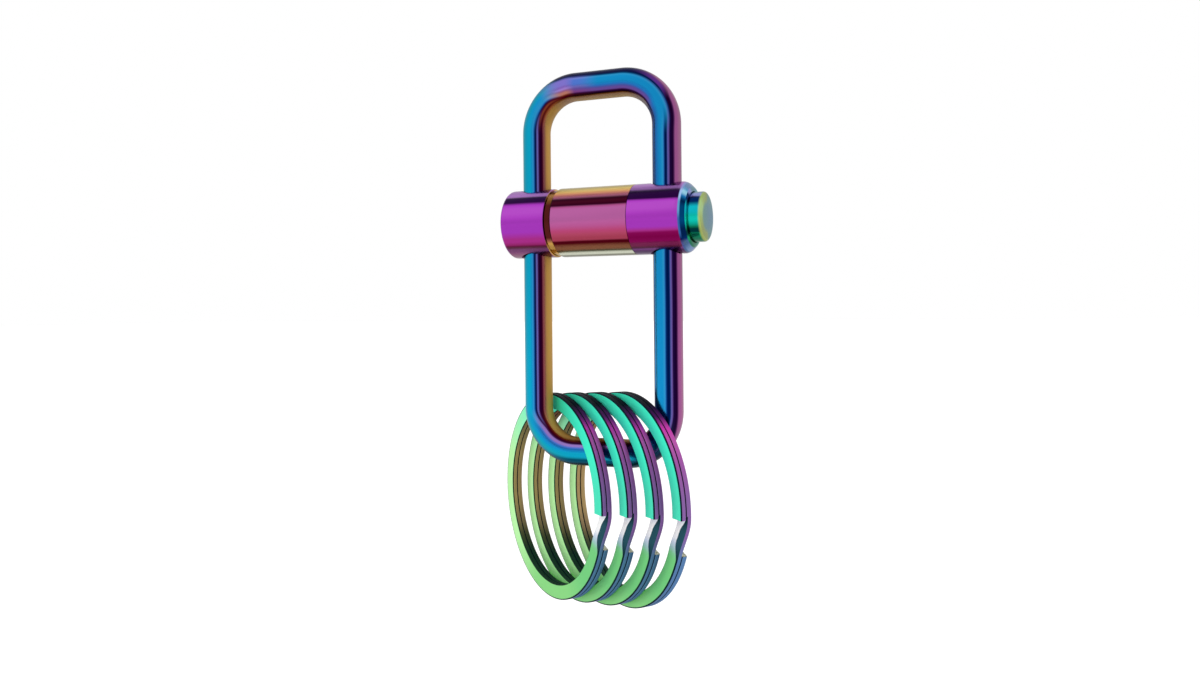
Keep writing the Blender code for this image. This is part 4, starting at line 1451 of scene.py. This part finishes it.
@dataclass
class Barrel:
    """The barrel's two collars and sleeve, and the button in its right end."""

    radius: float = 4.9025 * MM
    bore: float = 4.1025 * MM
    seam: float = 0.02 * MM
    left_end: float = 13.625 * MM
    left_seam: float = 6.725 * MM
    right_seam: float = 5.625 * MM
    right_end: float = 13.875 * MM
    ease: float = 0.06 * MM
    seam_ease: float = 0.18 * MM
    end_ease: float = 0.6 * MM
    end_wall: float = 1.1 * MM
    relief_width: float = 0.8 * MM
    relief_depth: float = 0.25 * MM
    relief_blend: float = 0.3 * MM
    chamfer: float = 0.95 * MM
    chamfer_eases: tuple[float, float] = (1.3 * MM, 0.9 * MM)
    crease: float = 0.08 * MM
    mouth_rim: float = 0.18 * MM
    lip_radius: float = 3.4725 * MM
    lip_length: float = 1.35 * MM
    button_radius: float = 3.4025 * MM
    button_back: float = 13.225 * MM
    button_face: float = 15.525 * MM
    button_rim: float = 0.4 * MM
    rod_bore: float = 0.75 * MM
    rod_bore_depth: float = 1.2 * MM

    def left_collar(self) -> Turned:
        """Lays out the collar with the closed end."""
        inner = -self.left_seam - self.seam
        wall = -self.left_end + self.end_wall
        film = CollarFilmWithPaintedReflections("left_collar_film", bands=COLLAR_LEFT_BANDS,
                          end_bands=RELIEF_BANDS, end_from=inner - 5 * self.seam,
                          end_to=inner - self.seam, closed_end=-self.left_end)
        return Turned("left_collar_shell", "left_collar", "clip_body", Slot.COLLAR, (
            (-self.left_end, 0.0, 0.0), (-self.left_end, self.radius, self.end_ease),
            (inner, self.radius, self.seam_ease), (inner, self.bore, 0.0),
            (wall, self.bore, 0.0), (wall, 0.0, 0.0)), film, holes=(-LEG_X,))

    def middle_sleeve(self) -> Turned:
        """Lays out the sleeve, with the relief at its left end."""
        relief = self.radius - self.relief_depth
        start = -self.left_seam + self.seam
        shoulder = start + self.relief_width
        inner = self.right_seam - self.seam
        film = CollarFilmWithPaintedReflections("sleeve_film", bands=RELIEF_BANDS, end_bands=SLEEVE_BANDS,
                          end_from=shoulder, end_to=shoulder + self.relief_blend)
        return Turned("middle_sleeve_shell", "middle_sleeve", "clip_body", Slot.SLEEVE, (
            (start, self.bore, 0.0), (start, relief, self.ease), (shoulder, relief, self.ease),
            (shoulder + self.relief_depth, self.radius, self.ease),
            (inner, self.radius, self.ease), (inner, self.bore, 0.0)), film)

    def right_collar(self) -> Turned:
        """Lays out the collar with the chamfer and the button's mouth."""
        inner = self.right_seam + self.seam
        edge = self.right_end - self.chamfer
        face = self.radius - self.chamfer
        lip = self.right_end - self.lip_length
        film = CollarFilmWithPaintedReflections("right_collar_film", bands=COLLAR_RIGHT_BANDS,
                          end_bands=CHAMFER_BANDS, end_from=edge - self.crease,
                          end_to=edge + self.mouth_rim, crease=edge + self.crease,
                          mouth_radius=face + self.mouth_rim)
        return Turned("right_collar_shell", "right_collar", "clip_body", Slot.COLLAR, (
            (inner, self.bore, 0.0), (inner, self.radius, self.ease),
            (edge, self.radius, self.chamfer_eases[0]),
            (self.right_end, face, self.chamfer_eases[1]),
            (self.right_end, self.lip_radius, self.ease), (lip, self.lip_radius, 0.0),
            (lip, self.bore, 0.0)), film, holes=(LEG_X,))

    def button(self) -> Turned:
        """Lays out the button, with the blind bore for the plunger's rod."""
        floor = self.button_back + self.rod_bore_depth
        return Turned("button_cap", "button", "button_set", Slot.BUTTON, (
            (floor, 0.0, 0.0), (floor, self.rod_bore, 0.0),
            (self.button_back, self.rod_bore, 0.0),
            (self.button_back, self.button_radius, self.ease),
            (self.button_face, self.button_radius, self.button_rim),
            (self.button_face, 0.0, 0.0)), ButtonFilmWithPaintedReflections("button_film", face_x=self.button_face))

    def build(self) -> None:
        """Turns the collars, the sleeve and the button."""
        for made in (self.left_collar(), self.middle_sleeve(), self.right_collar(),
                     self.button()):
            seat(made.build(), made.body, made.node)


@dataclass
class RingRow:
    """The four split rings in their slanted row on the lower bow's bar."""

    count: int = 4
    yaw: float = math.radians(36.9782)
    pitch: float = 3.0922 * MM
    shift: float = 0.14 * MM
    set_back: float = 3.7539 * MM
    set_back_step: float = 1.05 * MM
    height: float = AXIS_Z - 39.3983 * MM
    lift_step: float = 0.2 * MM

    def centre(self, number: int) -> tuple[float, float, float]:
        """Says where a ring's centre lies.

        Args:
            number: The ring's number, from 1 at the left.

        Returns:
            The centre, in metres.
        """
        along = number - 1 - (self.count - 1) / 2
        crossing = along * self.pitch - self.shift
        back = self.set_back - along * self.set_back_step
        return (crossing - back * math.cos(self.yaw), back * math.sin(self.yaw),
                self.height + along * self.lift_step)

    def build(self) -> None:
        """Winds the four rings."""
        group = sweep_tree("strip_sweep", strip_profile, True, {
            "Band": "Float", "Strip": "Float", "Edge Radius": "Float"})
        finish = StripFilmWithPaintedLightAndShade("split_ring_film", gloss=0.1, rim_glare=0.3).material()
        end_finish = CutEndFilm("split_ring_cut_end", roughness=0.3).material()
        for number in range(1, self.count + 1):
            ring = SplitRing(number, self.centre(number), self.yaw)
            seat(ring.build(group, finish, end_finish), f"ring_{number}",
                 f"split_ring_{number}")


@dataclass
class InnerWorks:
    """The steel pieces inside the barrel, which keep their solids."""

    turned: tuple[str, ...] = (
        "core_upper", "core_lower", "bow_pin_left", "bow_pin_right", "plunger",
        "release_cam_left", "release_cam_right", "spring_seat")
    drawn: tuple[str, ...] = ("return_spring", "latch_clip_left", "latch_clip_right")

    def build(self) -> None:
        """Dresses the machined pieces and the wire ones."""
        machined = BareSteel("machined_steel", roughness=0.3)
        wire = BareSteel("drawn_steel", roughness=0.22, marks=(500.0, 5000.0, 5000.0))
        for names, finish in ((self.turned, machined), (self.drawn, wire)):
            material = finish.material()
            for name in names:
                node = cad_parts[name]
                node.data.materials.clear()
                node.data.materials.append(material)
                LOG.info("%s keeps its solid in %s", name, finish.name)


def main() -> None:
    """Builds the studio and then the clip in order."""
    logging.basicConfig(level=logging.INFO, format="%(name)s: %(message)s")
    for part in (Studio(), Bows(), Barrel(), RingRow(), InnerWorks()):
        part.build()


if __name__ == "__main__":
    main()
